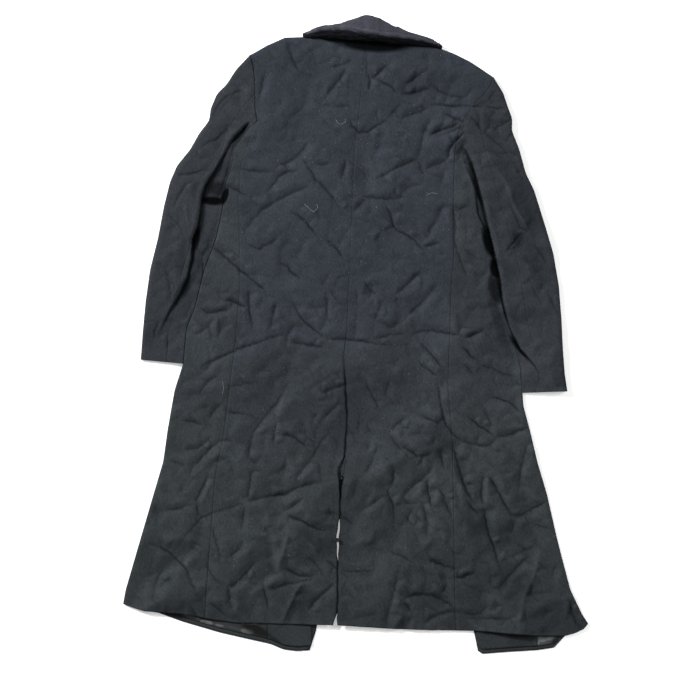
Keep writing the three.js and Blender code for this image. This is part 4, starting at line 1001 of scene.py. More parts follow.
# The two fronts lie face down under the back, open and apart at the hem. They are plain, because only
# their lowest edge shows.
FRONT_TOP = {
    "x": [-211.5, -205, -177, -141, -112, -90, -50, 50, 120, 150, 176, 197, 229, 253, 276.5],
    "y": [559, 562, 578, 593, 593, 582, 566, 558, 558, 562, 569, 562, 546, 530, 514],
}
FRONT_HEM = {
    "x": [-464, -447, -422, -394, -347, -272, -220, -170, -145, -117, -80]
    + [240, 254, 308, 362, 397, 411, 419, 439, 456, 464.5],
    "y": [-538, -544, -552, -556, -573, -595, -607, -618, -629, -632.5, -630]
    + [-629, -638, -634, -631, -626, -611, -602, -596, -588, -578],
}
FRONT_EDGE = {
    "y": [570, 300, 0, -240, -450, -590, -638],
    "left": [-2, -8, -28, -42, -62, -78, -94],
    "right": [14, 22, 62, 120, 190, 236, 246],
}
BUTTON_STAND = {"width": 48, "ramp": 25, "rise": 3.6, "top": 372, "bottom": -192, "fade": 40}
FRONT_COLUMNS = 40
FRONT_ROW_STEP = 3


def smooth_step(value, low, high):
    """0 below low and 1 above high, with a smooth rise between."""
    share = np.clip((value - low) / (high - low), 0, 1)
    return share * share * (3 - 2 * share)


def button_stand_rise(x, y):
    """The right front lies on its buttons along its free edge."""
    inset = x - read(FRONT_EDGE, "y", y, "right")
    stand = BUTTON_STAND
    across = 1 - smooth_step(inset, stand["width"], stand["width"] + stand["ramp"])
    below = smooth_step(y, stand["bottom"] - stand["fade"], stand["bottom"])
    above = 1 - smooth_step(y, stand["top"], stand["top"] + stand["fade"])
    return stand["rise"] * across * below * above


def front_panel(side, outward, armhole, edge, seam):
    """A front, flat on the floor from the armhole and the side to its free edge."""
    edge_x, edge_y = edge_line(edge)
    edge_x = edge_x - outward * SLEEVE_GAP
    seam_x = row_meets(seam, "x", SKIRT_ROWS, BACK_TOP, BACK_HEM)
    radius = roll_radius(side, edge_x, edge_y, seam_x)
    cap_x = read(armhole, "step", YOKE_ROWS[:-1], "x") - outward * SLEEVE_GAP
    outer_x = np.concatenate([cap_x, under_seam(edge_x, outward, radius) - outward * HALF_SEAM])
    inner_x = row_meets(FRONT_EDGE, side, BODY_ROWS, FRONT_TOP, FRONT_HEM)
    keep = np.unique(np.r_[0 : len(BODY_ROWS) : FRONT_ROW_STEP, len(BODY_ROWS) - 1])
    share = np.linspace(0, 1, FRONT_COLUMNS)
    x = outer_x[keep, None] * (1 - share) + inner_x[keep, None] * share
    rows = np.repeat(BODY_ROWS[keep, None], FRONT_COLUMNS, axis=1)
    first = x[:, :1], rows[:, :1]
    step = row_y(*first, BACK_TOP, BACK_HEM) - row_y(*first, FRONT_TOP, FRONT_HEM)
    y = row_y(x, rows, FRONT_TOP, FRONT_HEM) + step * (1 - share)
    z = WOOL + (button_stand_rise(x, y) if outward > 0 else np.zeros_like(x))
    return cloth_object(f"front_{side}", x, y, z, WOOL_BODY)


front_left = front_panel("left", -1, ARMHOLE_LEFT, EDGE_LEFT, SIDE_SEAM_LEFT)
front_right = front_panel("right", 1, ARMHOLE_RIGHT, EDGE_RIGHT, SIDE_SEAM_RIGHT)


# Each sleeve is cut in two pieces, a wide top one and a narrow under one, joined by a hindarm seam that
# shows on the upper side and a forearm seam underneath. The sleeves lie flat beside the body.
SLEEVE_EDGE_LEFT = {
    "x": [-211.5, -239, -259, -277, -290, -293, -313, -331, -357, -371, -383, -395, -411, -420, -426, -430],
    "y": [559, 530, 499, 482, 452, 428, 402, 370, 338, 306, 258, 194, 130, 66, 2, -50],
}
SLEEVE_EDGE_RIGHT = {
    "x": [276.5, 296, 306, 314, 313, 328, 341, 357, 377, 396, 407, 412, 415, 419, 424],
    "y": [514, 483, 452, 432, 408, 370, 322, 290, 226, 162, 98, 34, -30, -80, -113],
}
HINDARM_SHARE, FOREARM_SHARE = 0.6, 0.4
OUTER_ROLL_SHARE, INNER_ROLL_SHARE = 0.08, 0.03
SLEEVE_ROWS = 280
CAP_STEPS = 60
MEAN_SLEEVE_WIDTH = 110
SEAM_SHARE = HALF_SEAM / MEAN_SLEEVE_WIDTH
ROWS_TURN = 1.35
CAP_FADE_SHARE = 0.33
SLEEVE_LOFT = {"share": [0, 0.25, 0.6, 1], "z": [14.5, 17, 15, 10.5]}
SLEEVE_CREASES = [
    ((176, 175), (186, 175), (195, 173), (206, 170), 3.4, SHARP),
    ((200, 148), (208, 143), (218, 139), (228, 128), 3.0, SOFT),
    ((195, 180), (187, 185), (180, 195), (174, 209), 3.2, SOFT),
    ((178, 160), (184, 158), (190, 156), 2.0, SOFT),
    ((186, 205), (187, 216), (190, 228), -1.8, SOFT),
    ((214, 114), (219, 105), (226, 97), (233, 95), 2.4, SOFT),
    ((232, 96), (238, 91), (245, 92), 2.4, SHARP),
    ((228, 88), (232, 84), (238, 86), 1.6, SHARP),
    ((252, 124), (246, 134), (238, 145), (234, 149), 4.0, SHARP),
    ((251, 122), (243, 130), (233, 139), (226, 152), (218, 166), 5.0, SHARP),
    ((207, 248), (202, 257), (203, 270), (203, 287), 3.4, SHARP),
    ((193, 300), (189, 309), (185, 322), 1.6, SOFT),
    ((160, 321), (156, 330), (154, 340), 2.4, SHARP),
    ((194, 308), (190, 318), (186, 330), 2.2, SHARP),
    ((168, 214), (180, 226), (186, 240), 2.2, SOFT),
    ((164, 262), (170, 284), (172, 306), 1.8, SOFT),
    ((168, 330), (168, 345), (167, 356), 1.8, SHARP),
    ((489, 101), (491, 95), (497, 90), 3.0, SHARP),
    ((484, 105), (490, 108), (498, 109), (506, 108), 3.0, SHARP),
    ((467, 108), (474, 106), (482, 107), 2.4, SHARP),
    ((511, 119), (505, 124), (498, 127), (491, 134), 3.6, SHARP),
    ((512, 119), (508, 117), (503, 116), 2.6, SHARP),
    ((505, 142), (508, 138), (512, 133), 2.4, SOFT),
    ((470, 118), (476, 122), (481, 130), 3.0, SHARP),
    ((478, 112), (480, 119), (478, 127), 2.4, SHARP),
    ((484, 130), (490, 138), (500, 146), (510, 158), 2.6, SOFT),
    ((510, 158), (517, 170), (524, 184), 1.8, SOFT),
    ((506, 186), (510, 198), (517, 214), (529, 227), -3.6, SOFT),
    ((523, 233), (518, 237), (513, 243), (507, 251), 4.4, SHARP),
    ((517, 246), (509, 250), (505, 253), 3.0, SHARP),
    ((532, 244), (541, 254), (548, 268), 1.8, SOFT),
    ((528, 275), (534, 292), (543, 306), 2.0, SOFT),
    ((546, 290), (552, 302), (558, 316), 2.0, SOFT),
    ((513, 340), (522, 350), (533, 364), (539, 374), 4.0, SHARP),
    ((471, 161), (476, 176), (481, 194), 3.6, SHARP),
    ((502, 300), (506, 316), (514, 338), 3.0, SHARP),
]
WOOL_SLEEVE = melton("melton_sleeve", "#2B2E32", "#2A2D30")


def path_at(table, shares):
    """Places along a line of points, by share of its length."""
    x, y = np.array(table["x"], float), np.array(table["y"], float)
    length = np.concatenate([[0], np.cumsum(np.hypot(np.diff(x), np.diff(y)))])
    wanted = np.asarray(shares) * length[-1]
    return np.interp(wanted, length, x), np.interp(wanted, length, y)


# Where a sleeve's cloth folds over and drops to the cloth below: its line in the photograph's pixels, how far
# it drops at each point in millimetres, on which side, how wide the slope is and how dark the painted shade
# at its foot is
SLEEVE_DROPS = [
    {
        "line": [(250, 121), (243, 128), (232, 140), (220, 161), (212, 174), (204.5, 186), (201.5, 196)]
        + [(199.8, 209), (197, 227), (192, 239), (191, 258), (186.6, 277), (179, 294), (168, 312)]
        + [(158, 334)],
        "drops": [0, 2, 4, 7, 9, 11, 11, 7, 9, 12, 10, 8, 6, 4, 0],
        "low_side": 1,
        "slope": 4,
        "dark": 1.0,
    },
    {
        "line": [(461, 146), (466.8, 150), (472, 162), (476, 175), (481.5, 196), (487.4, 221), (495, 253)]
        + [(501, 281), (503, 301), (509.5, 327), (521, 349), (534, 364)],
        "drops": [0, 3, 5, 6, 8, 10, 12, 12, 11, 8, 6, 0],
        "low_side": -1,
        "slope": 4,
        "dark": 1.0,
    },
    {
        "line": [(479, 139), (492, 161), (508, 185), (516, 206), (526, 226), (532, 240)],
        "drops": [0, 2, 5, 5.5, 5, 0],
        "low_side": 1,
        "slope": 26,
        "dark": 0.34,
    },
    {
        "line": [(505, 247), (517, 251), (527, 263), (533, 284), (540, 304)],
        "drops": [0, 3, 3.5, 3, 0],
        "low_side": 1,
        "slope": 24,
        "dark": 0.24,
    },
    {
        "line": [(222, 208), (219, 235), (213, 246), (203, 257), (202, 271), (203, 285)],
        "drops": [0, 3, 4, 4, 3, 0],
        "low_side": -1,
        "slope": 8,
        "dark": 0.3,
    },
    {
        "line": [(251, 125), (241.5, 137.5), (234.5, 147), (231, 160), (228.5, 172), (224, 184)],
        "drops": [0, 2, 2.4, 1, 2.6, 2],
        "low_side": -1,
        "slope": 3.4,
        "dark": 0.9,
    },
]
DROP_REACH = 60
DROP_BACK_UP = (30, 58)
DROP_LIP, LIP_WIDTH = 1.6, 5
DEEP_DROP = 12
PAINTED_FOOT_SHADE = 0.9
UPPER_REACH = 40


def drop_maps():
    """The drop from each fold's edge, the painted shade at its foot, and the cells on its upper side."""
    relief, shade, upper = np.zeros_like(map_x), np.zeros_like(map_x), np.zeros_like(map_x)
    for fold in SLEEVE_DROPS:
        path = np.array([photo_to_mm(point) for point in fold["line"]])
        window, distance, side, along = near_path(path, DROP_REACH)
        drop = np.interp(along * (len(path) - 1), np.arange(len(path)), fold["drops"])
        below = side * fold["low_side"] > 0
        lip = DROP_LIP * np.exp(-(((distance - LIP_WIDTH) / LIP_WIDTH) ** 2)) * drop / DEEP_DROP
        back_up = 1 - smooth_step(distance, *DROP_BACK_UP)
        relief[window] += np.where(below, -drop * smooth_step(distance, 0, fold["slope"]) * back_up, lip)
        foot = fold["dark"] * (drop / max(fold["drops"])) ** 0.7
        foot = foot * np.exp(-((distance / (1.3 * fold["slope"])) ** 1.6))
        shade[window] = np.maximum(shade[window], np.where(below, foot, 0))
        if fold["dark"] == 1:
            beside = (distance < UPPER_REACH) & (drop > 1) & ~below
            upper[window] = np.maximum(upper[window], beside)
    return relief, shade, upper


drops, foot_shade, upper_side = drop_maps()
sleeve_map = wool_map + crease_strokes(SLEEVE_CREASES) + drops
# The sleeves' painted light and shade: painted shade at the foot of each drop, and no painted hollow shade on
# a fold's upper side.
sleeve_light_and_shade = painted_light_and_shade(sleeve_map + HOLLOW_DEPTH * shaded_hollow, shaded_hollow * (1 - upper_side), lean)
sleeve_light_and_shade *= 1 - PAINTED_FOOT_SHADE * foot_shade


def sleeve_height(x, y, share):
    """Face of a sleeve's upper layer, at a share of its length."""
    return over_least(read(SLEEVE_LOFT, "share", share, "z") + sample(sleeve_map, x, y))


def sleeve_ends(armhole, edge, outline, cuff_y):
    """For each row of a sleeve: its share of the length, its outer end and its end at the body."""
    edge_x, edge_y = edge_line(edge)
    cuff_row = np.interp(-cuff_y, -edge_y, SKIRT_ROWS)
    share = np.linspace(0, 1, SLEEVE_ROWS)
    place = 1 + (cuff_row - 1) * share
    inner = np.interp(place, SKIRT_ROWS, edge_x), np.interp(place, SKIRT_ROWS, edge_y)
    outer = path_at(outline, 1 - (1 - share) ** ROWS_TURN)
    outer = soften(outer[0], 3), soften(outer[1], 3)
    steps = np.linspace(0, 1, CAP_STEPS)
    cap_x = read(armhole, "step", steps, "x")
    cap_y = row_y(cap_x, steps, BACK_TOP, BACK_HEM)
    cap_x[-1], cap_y[-1] = inner[0][0], inner[1][0]
    return share, outer, inner, (steps, cap_x, cap_y)


def sleeve_place(ends, across, outward):
    """X and Y at a share across each row. The first rows bend to follow the armhole."""
    share, outer, inner, (steps, cap_x, cap_y) = ends
    fade = np.maximum(0, 1 - share / CAP_FADE_SHARE) ** 2
    places = []
    for axis, cap in ((0, cap_x), (1, cap_y)):
        straight = outer[axis][0] * (1 - across) + inner[axis][0] * across
        bend = np.interp(across, steps, cap) - straight
        places.append(outer[axis] * (1 - across) + inner[axis] * across + fade * bend)
    return places[0] + outward * SLEEVE_GAP, places[1]


def sleeve_piece(node, outward, ends, upper, under, at_outer_edge):
    """One piece of a sleeve, from its columns on the upper side, round an edge, to those underneath."""
    share, outer, inner, _ = ends
    width = np.hypot(outer[0] - inner[0], outer[1] - inner[1])
    edge_share, roll_share = (0, OUTER_ROLL_SHARE) if at_outer_edge else (1, INNER_ROLL_SHARE)
    lines = []
    for across in upper:
        x, y = sleeve_place(ends, np.full_like(share, across), outward)
        lines.append((x, y, sleeve_height(x, y, share) + seam_dip((across - HINDARM_SHARE) * width)))
    top_height = lines[-1][2]
    for turn in np.linspace(1, -1, ROLL_COLUMNS)[1:-1]:
        inset, height = roll_around(top_height, roll_share * width, turn)
        x, y = sleeve_place(ends, np.abs(edge_share - inset / width), outward)
        lines.append((x, y, height))
    for across in under:
        x, y = sleeve_place(ends, np.full_like(share, across), outward)
        lines.append((x, y, np.zeros_like(x)))
    x, y, z = (np.stack([line[axis] for line in lines], axis=1) for axis in range(3))
    return cloth_object(node, x, y, z, WOOL_SLEEVE, sample(sleeve_light_and_shade, x, y))


for side, outward, armhole, edge, outline in (
    ("left", -1, ARMHOLE_LEFT, EDGE_LEFT, SLEEVE_EDGE_LEFT),
    ("right", 1, ARMHOLE_RIGHT, EDGE_RIGHT, SLEEVE_EDGE_RIGHT),
):
    ends = sleeve_ends(armhole, edge, outline, CUFF_Y[side])
    top_upper = np.linspace(HINDARM_SHARE - SEAM_SHARE, OUTER_ROLL_SHARE, 40)
    top_under = np.linspace(OUTER_ROLL_SHARE, FOREARM_SHARE - SEAM_SHARE, 5)
    under_upper = np.linspace(HINDARM_SHARE + SEAM_SHARE, 1 - INNER_ROLL_SHARE, 34)
    under_under = np.linspace(1 - INNER_ROLL_SHARE, FOREARM_SHARE + SEAM_SHARE, 5)
    top = sleeve_piece(f"top_sleeve_{side}", outward, ends, top_upper, top_under, at_outer_edge=True)
    under = sleeve_piece(f"under_sleeve_{side}", outward, ends, under_upper, under_under, at_outer_edge=False)


# The collar is folded over along its crest. The fall hangs down clear of the back and throws the neck into
# shade, deepened by painted shadow. The stand props it up from inside, and the leaf beyond the crest runs
# down towards the throat.
COLLAR = {
    "x": [-104, -98, -88, -68, -38, -10, 18, 46, 70, 98, 124, 146, 160, 172],
    "fall_y": [596.5, 595.5, 594, 593.5, 592, 590, 588.5, 586, 582, 581, 579.5, 577, 574.5, 571.5],
    "lift": [-1.6, -1.2, 0.2, 2.5, 5, 7, 8, 7.5, 7, 6, 4, 1.5, -0.8, -1.8],
    "crest_y": [597.5, 600, 604, 609, 612, 612, 604, 600, 597, 594, 590, 586, 581, 574],
    "crest_z": [8, 14.5, 25, 33, 39, 43, 45, 44, 42, 39, 33, 26.5, 18.5, 9],
    "leaf_y": [599, 602, 607.5, 613.5, 616.5, 628, 638, 632, 618.5, 607, 598, 592, 585.5, 576],
}
COLLAR_COLUMNS = 116
SECTION_POINTS = 34
FALL_BOW = 1.6
COLLAR_RIPPLE, COLLAR_MOTTLE = 1.1, 0.2
STAND_INSET = 16
STAND_SHARE = 0.45
LEAF_CLEARANCE = 12
# How bright each part is painted along its section: the fall in painted shade at its lower edge with a
# painted highlight at the crest, the stand in painted shade, and the leaf a little paler. The shares of its
# length, then the tones there
FALL_PAINTED_LIGHT = (0, 0.3, 0.66, 0.74, 0.82, 1), (0.18, 0.32, 0.46, 2.1, 1.7, 1.2)
STAND_PAINTED_SHADE = (0, 1), (0.4, 0.6)
LEAF_TONE = (0, 1), (1.15, 1.25)
WOOL_COLLAR = melton("melton_collar", "#2D2E34", "#2D2E34")


def collar_lines(inset):
    """X of the collar's columns, and its lines there by name."""
    x = np.linspace(COLLAR["x"][0] + inset, COLLAR["x"][-1] - inset, COLLAR_COLUMNS)
    lines = {name: soften(read(COLLAR, "x", x, name), 4) for name in COLLAR if name != "x"}
    lines["fall_z"] = soften(back_height(x, lines["fall_y"]), 5) + WOOL + lines["lift"]
    return x, lines


def collar_object(node, x, sections, tone):
    """A shell along the collar, from its section's points at each column."""
    points = np.array(sections)
    grid_x = np.repeat(x[:, None], SECTION_POINTS, axis=1)
    y, z = np.zeros_like(grid_x), np.zeros_like(grid_x)
    for row in range(len(x)):
        length = np.concatenate([[0], np.cumsum(np.hypot(*np.diff(points[:, :, row], axis=0).T))])
        wanted = np.linspace(0, length[-1], SECTION_POINTS)
        y[row] = soften(np.interp(wanted, length, points[:, 0, row]), 2)
        z[row] = soften(np.interp(wanted, length, points[:, 1, row]), 2)
    y += COLLAR_RIPPLE * sample(crumple, 1.6 * grid_x, 6 * z)
    mottle = 1 + COLLAR_MOTTLE * sample(crumple, 1.9 * grid_x, 3 * y)
    # The painted light and shade along the section, with a random mottle
    shade = np.interp(np.linspace(0, 1, SECTION_POINTS), *tone)[None, :] * mottle
    return cloth_object(node, grid_x, y, z, WOOL_COLLAR, shade), grid_x, y, z


def up_the_fall(line, share):
    """Y and Z at a share of the way from the fall's lower edge to the crest."""
    return tuple(line[f"fall_{axis}"] * (1 - share) + line[f"crest_{axis}"] * share for axis in "yz")


x, line = collar_lines(0)
fall_sections = []
for share in (0, 0.35, 0.7):
    y, z = up_the_fall(line, share)
    fall_sections.append((y - FALL_BOW * math.sin(math.pi * share), z))
for beyond, below in ((-1.6, 1.0), (0, 0), (1.8, 1.2), (2.6, 3.4)):
    fall_sections.append((line["crest_y"] + beyond, line["crest_z"] - below))
collar_fall, fall_x, fall_y, fall_z = collar_object("collar_fall", x, fall_sections, FALL_PAINTED_LIGHT)

x, line = collar_lines(STAND_INSET)
base = read(BACK_TOP, "x", x, "y") + 0.3, read(BACK_TOP, "x", x, "z") - WOOL
head_y, head_z = up_the_fall(line, STAND_SHARE)
collar_stand, *_ = collar_object("collar_stand", x, [base, (head_y + 1.5 * WOOL, head_z)], STAND_PAINTED_SHADE)

start_y, start_z = line["crest_y"] + 3, line["crest_z"] - 4.2
reach = line["leaf_y"] - start_y
leaf_run = ((0, 1), (0.38, 0.78), (0.75, 0.5))
leaf_sections = [(start_y + reach * share, start_z * level) for share, level in leaf_run]
leaf_sections.append((line["leaf_y"] - 1, start_z * 0.28))
for inset, height in ((0, 4.5), (1.6, 1.1), (4.6, 0)):
    leaf_sections.append((line["leaf_y"] - inset, np.full_like(x, height)))
leaf_sections.append((read(FRONT_TOP, "x", x, "y") + LEAF_CLEARANCE, np.zeros_like(x)))
collar_leaf, *_ = collar_object("collar_leaf", x, leaf_sections, LEAF_TONE)


# Behind the vent lies its underlay, a strip of the same melton that keeps the opening closed. Two small
# buttons hold it: one shows half behind the edge, and one bridges the open slit lower down.
UNDERLAY = {"top": -228, "bottom": -369, "left": -52, "right": -8}
UNDERLAY_WALL = 1.6
UNDERLAY_HEIGHT, UNDERLAY_RIPPLE = 4.3, 0.35
# The strip is painted paler, as painted light against the shade of the slit.
UNDERLAY_PAINTED_LIGHT = 1.5
share, across = np.meshgrid(np.linspace(0, 1, 46), np.linspace(0, 1, 16), indexing="ij")
x = UNDERLAY["left"] + (UNDERLAY["right"] - UNDERLAY["left"]) * across
y = UNDERLAY["top"] + (UNDERLAY["bottom"] - UNDERLAY["top"]) * share
z = UNDERLAY_HEIGHT + UNDERLAY_RIPPLE * sample(crumple, x, y)
tone = np.full_like(x, UNDERLAY_PAINTED_LIGHT)
underlay = cloth_object("vent_underlay", x, y, z, WOOL_SKIRT, tone, UNDERLAY_WALL)


# Below the back's hem the fronts' inner sides show. The facings are the coat's own melton. The lining is a
# thin satin, woven with long floats; its folds are raised and carry painted highlights for their glints, and
# painted shadow darkens the cloth along the hem.
HEM_SHOWS_FROM = 24
HEM_BARE = 9
SEATED_AT = 2 * WOOL - 1.9
LEAST_SEAT = WOOL + 0.2
HEM_PITCH = 2.5
# Painted highlights on the satin's folds, then painted shadows by the hem, as oval patches in the
# photograph's pixels: centre, half length, half width, heading and strength
SATIN_PAINTED_GLINTS = [
    ((187.5, 615), 6, 1.8, -22, 1.0),
    ((196, 617.8), 3.5, 1.3, -14, 0.8),
    ((206.5, 622.4), 6.5, 2.0, -10, 1.0),
    ((219.5, 625.6), 5, 1.3, -10, 0.6),
    ((248.5, 623.6), 8, 1.7, -2, 1.0),
    ((247, 631.8), 6.5, 2.2, -10, 1.0),
    ((233, 628), 9, 0.9, -14, 0.35),
    ((541, 638), 8.5, 2.6, -4, 0.75),
    ((551, 637.6), 6.5, 2.0, 0, 0.6),
    ((538, 642.8), 3.5, 1.4, 24, 0.9),
]
HEM_PAINTED_SHADOWS = [((255, 629), 16, 5, -26, 0.75), ((276, 641), 10, 2.4, -38, 0.5), ((556, 641), 4, 6, -30, 0.7)]
SATIN_THREAD = 1.6 * MM


def satin(name, hex_colour):
    """Satin with its threads as fine bands, drawn coarser than they are so that they show."""
    material, tree, output = new_material(name)
    places = add_node(tree, "ShaderNodeTexCoord").outputs["Object"]
    woven = {"Scale": 1 / SATIN_THREAD / 6.28, "Distortion": 1.5, "Detail": 2.0, "wave_type": "BANDS"}
    threads = add_node(tree, "ShaderNodeTexWave", woven, {"Vector": places}).outputs["Fac"]
    # The painted light and shade on the mesh scales the satin's colour.
    tone = add_node(tree, "ShaderNodeAttribute", {"attribute_name": "painted_light_and_shade"}).outputs["Fac"]
    thread_gain = add_node(tree, "ShaderNodeMapRange", {"To Min": 0.88, "To Max": 1.1}, {"Value": threads})
    gain = add_node(tree, "ShaderNodeMath", {"operation": "MULTIPLY"})
    tree.links.new(thread_gain.outputs["Result"], gain.inputs[0])
    tree.links.new(tone, gain.inputs[1])
    shade = add_node(tree, "ShaderNodeVectorMath", {"operation": "SCALE"}, {"Scale": gain.outputs["Value"]})
    shade.inputs[0].default_value = linear(hex_colour)[:3]
    bump = add_node(tree, "ShaderNodeBump", {"Strength": 0.2, "Distance": 0.2 * MM}, {"Height": threads})
    shader = add_node(
        tree,
        "ShaderNodeBsdfPrincipled",
        {"Roughness": 0.5, "Specular IOR Level": 0.12},
        {"Base Color": shade.outputs["Vector"], "Normal": bump.outputs["Normal"]},
    )
    tree.links.new(shader.outputs["BSDF"], output.inputs["Surface"])
    return material


SATIN_LINING = satin("woven_satin_lining", "#6E7072")
glints = patch_map(SATIN_PAINTED_GLINTS)
hem_painted_shadows = patch_map(HEM_PAINTED_SHADOWS)
for name, start, end, wall, slot, flat in (
    ("facing_left", -176, -88, 2.0, "wool_body", (0.088, 0.056)),
    ("lining_left", -352, -176.3, 1.0, "lining", (0.176, 0.040)),
    ("facing_right", 242, 363, 2.0, "wool_body", (0.121, 0.054)),
    ("lining_right", 363.3, 404, 1.0, "lining", (0.041, 0.048)),
):
    columns = round((end - start) / HEM_PITCH)
    down, across = np.meshgrid(np.linspace(0, 1, 22), np.linspace(0, 1, columns), indexing="ij")
    x = start + (end - start) * across
    hidden_y = read(BACK_HEM, "x", x, "y") + HEM_SHOWS_FROM
    y = hidden_y + (read(FRONT_HEM, "x", x, "y") + HEM_BARE - hidden_y) * down
    is_satin = slot == "lining"
    ripple = sample(crumple, x * 0.7, y * 2.2)
    glint = smooth_step(sample(glints, x + 3 * ripple, y + 2 * ripple), 0.1, 0.75)
    glint *= 1 if start < 0 else 0.45
    z = SEATED_AT + wall + ripple * (0.5 if is_satin else 0.25) + 1.2 * glint
    z = np.maximum(z, LEAST_SEAT + wall * 0.4)
    # Painted light and shade: painted highlights on the glints, paler where the ripple lifts the cloth, and
    # painted shadow along the hem.
    tone = 0.17 + 0.08 * ripple + (0.46 + 0.4 * ripple) * glint if is_satin else 0.9 + 0.1 * ripple
    tone = tone * (1 - sample(hem_painted_shadows, x, y))
    material = SATIN_LINING if is_satin else WOOL_SKIRT
    made = cloth_object(name, x, y, z, material, tone, wall)


# The buttons are pressed from dark plastic: a raised rim, a dished middle and four sewing holes. The small
# ones close the vent. The large ones are down the right front, which lies face down on them.
BUTTON_RINGS, BUTTON_SPOKES = 26, 56
DISH_LEVEL = 0.62
HOLE_CIRCLE, HOLE_RADIUS, HOLE_MARGIN = 0.24, 0.06, 0.12


def pressed_plastic(name, dark_hex, pale_hex):
    """Hard plastic with a faint marbling and a few scuffs, so its gloss is uneven."""
    material, tree, output = new_material(name)
    places = add_node(tree, "ShaderNodeTexCoord").outputs["Object"]
    veins = {"Scale": 260.0, "Detail": 4.0}
    marble = add_node(tree, "ShaderNodeTexNoise", veins, {"Vector": places}).outputs["Fac"]
    colours = {"Color1": linear(dark_hex), "Color2": linear(pale_hex)}
    ramp = add_node(tree, "ShaderNodeMixRGB", colours, {"Fac": marble})
    scuff = add_node(tree, "ShaderNodeMapRange", {"To Min": 0.34, "To Max": 0.6}, {"Value": marble})
    shader = add_node(
        tree,
        "ShaderNodeBsdfPrincipled",
        {"Specular IOR Level": 0.35},
        {"Base Color": ramp.outputs["Color"], "Roughness": scuff.outputs["Result"]},
    )
    tree.links.new(shader.outputs["BSDF"], output.inputs["Surface"])
    return material


BUTTON_PLASTIC = pressed_plastic("pressed_plastic_button", "#0A0B0D", "#1B1D20")


def button_object(node, face_down):
    """A button that fills its node's box, with its dish and holes as shares of its radius and height."""
    low, high = (np.array(corner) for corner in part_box(node))
    centre, radius, height = (low + high) / 2, (high[0] - low[0]) / 2, high[2] - low[2]
    spokes = np.linspace(0, 2 * math.pi, BUTTON_SPOKES, endpoint=False)
    ring, spoke = np.meshgrid(np.linspace(0, 1, BUTTON_RINGS), spokes, indexing="ij")
    u, v = ring * np.cos(spoke), ring * np.sin(spoke)
    rise = (1 - DISH_LEVEL) * smooth_step(ring, 0.55, 0.75)
    dish = DISH_LEVEL + rise - 0.5 * smooth_step(ring, 0.9, 1.0) ** 2
    for angle in (45, 135, 225, 315):
        hole_u = HOLE_CIRCLE * math.cos(math.radians(angle))
        hole_v = HOLE_CIRCLE * math.sin(math.radians(angle))
        dish -= 0.5 * (1 - smooth_step(np.hypot(u - hole_u, v - hole_v), HOLE_RADIUS, HOLE_MARGIN))
    top = np.stack([u * radius, v * radius, dish * height], axis=-1)
    under = np.stack([u * radius, v * radius, np.zeros_like(u)], axis=-1)
    points = np.concatenate([top.reshape(-1, 3), under.reshape(-1, 3)])
    if face_down:
        points[:, 2] = height - points[:, 2]
    points += (centre[0], centre[1], low[2])
    faces = []
    offset = BUTTON_RINGS * BUTTON_SPOKES
    rim = (BUTTON_RINGS - 1) * BUTTON_SPOKES
    for row in range(BUTTON_RINGS - 1):
        for column in range(BUTTON_SPOKES):
            after = (column + 1) % BUTTON_SPOKES
            a, b = row * BUTTON_SPOKES + column, row * BUTTON_SPOKES + after
            faces.append((a, a + BUTTON_SPOKES, b + BUTTON_SPOKES, b))
            faces.append((b + offset, b + BUTTON_SPOKES + offset, a + BUTTON_SPOKES + offset, a + offset))
    for column in range(BUTTON_SPOKES):
        after = (column + 1) % BUTTON_SPOKES
        faces.append((rim + column, rim + column + offset, rim + after + offset, rim + after))
    mesh = bpy.data.meshes.new(f"{node}_pressed")
    mesh.from_pydata(points.tolist(), [], faces)
    finish = bmesh.new()
    finish.from_mesh(mesh)
    bmesh.ops.remove_doubles(finish, verts=finish.verts, dist=0.00001)
    bmesh.ops.recalc_face_normals(finish, faces=finish.faces)
    finish.to_mesh(mesh)
    finish.free()
    mesh.polygons.foreach_set("use_smooth", [True] * len(mesh.polygons))
    mesh.materials.append(BUTTON_PLASTIC)
    made = bpy.data.objects.new(f"{node}_pressed", mesh)
    bpy.context.scene.collection.objects.link(made)
    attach(made, "root")
    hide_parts(node)


for number in (1, 2):
    button_object(f"vent_button_{number}", face_down=False)
for number in range(1, 6):
    button_object(f"front_button_{number}", face_down=True)


# Rows of machine stitching in buttonhole-weight thread stiffen the fall of the collar and hold down the
# facing beside the vent. Each stitch is one short raised bead of thread.
STITCH_LENGTH = 3.2
STITCH_PITCH = 4.2
STITCH_THREAD = 0.7
FALL_STITCH_LEVELS = (6, 9, 12, 15, 18)
VENT_STITCH_FROM, VENT_STITCH_TO = -316, -436
VENT_STITCH_OFFSETS = (-13.5, -2.2)


def spun_thread(name, hex_colour):
    """Spun fibre, dull and uneven in tone along its twist."""
    material, tree, output = new_material(name)
    places = add_node(tree, "ShaderNodeTexCoord").outputs["Object"]
    twist = add_node(tree, "ShaderNodeTexNoise", {"Scale": 900.0, "Detail": 2.0}, {"Vector": places})
    uneven = {"To Min": 0.7, "To Max": 1.3}
    gain = add_node(tree, "ShaderNodeMapRange", uneven, {"Value": twist.outputs["Fac"]})
    shade = add_node(tree, "ShaderNodeVectorMath", {"operation": "SCALE"}, {"Scale": gain.outputs["Result"]})
    shade.inputs[0].default_value = linear(hex_colour)[:3]
    shader = add_node(
        tree,
        "ShaderNodeBsdfPrincipled",
        {"Roughness": 0.8, "Specular IOR Level": 0.25},
        {"Base Color": shade.outputs["Vector"]},
    )
    tree.links.new(shader.outputs["BSDF"], output.inputs["Surface"])
    return material


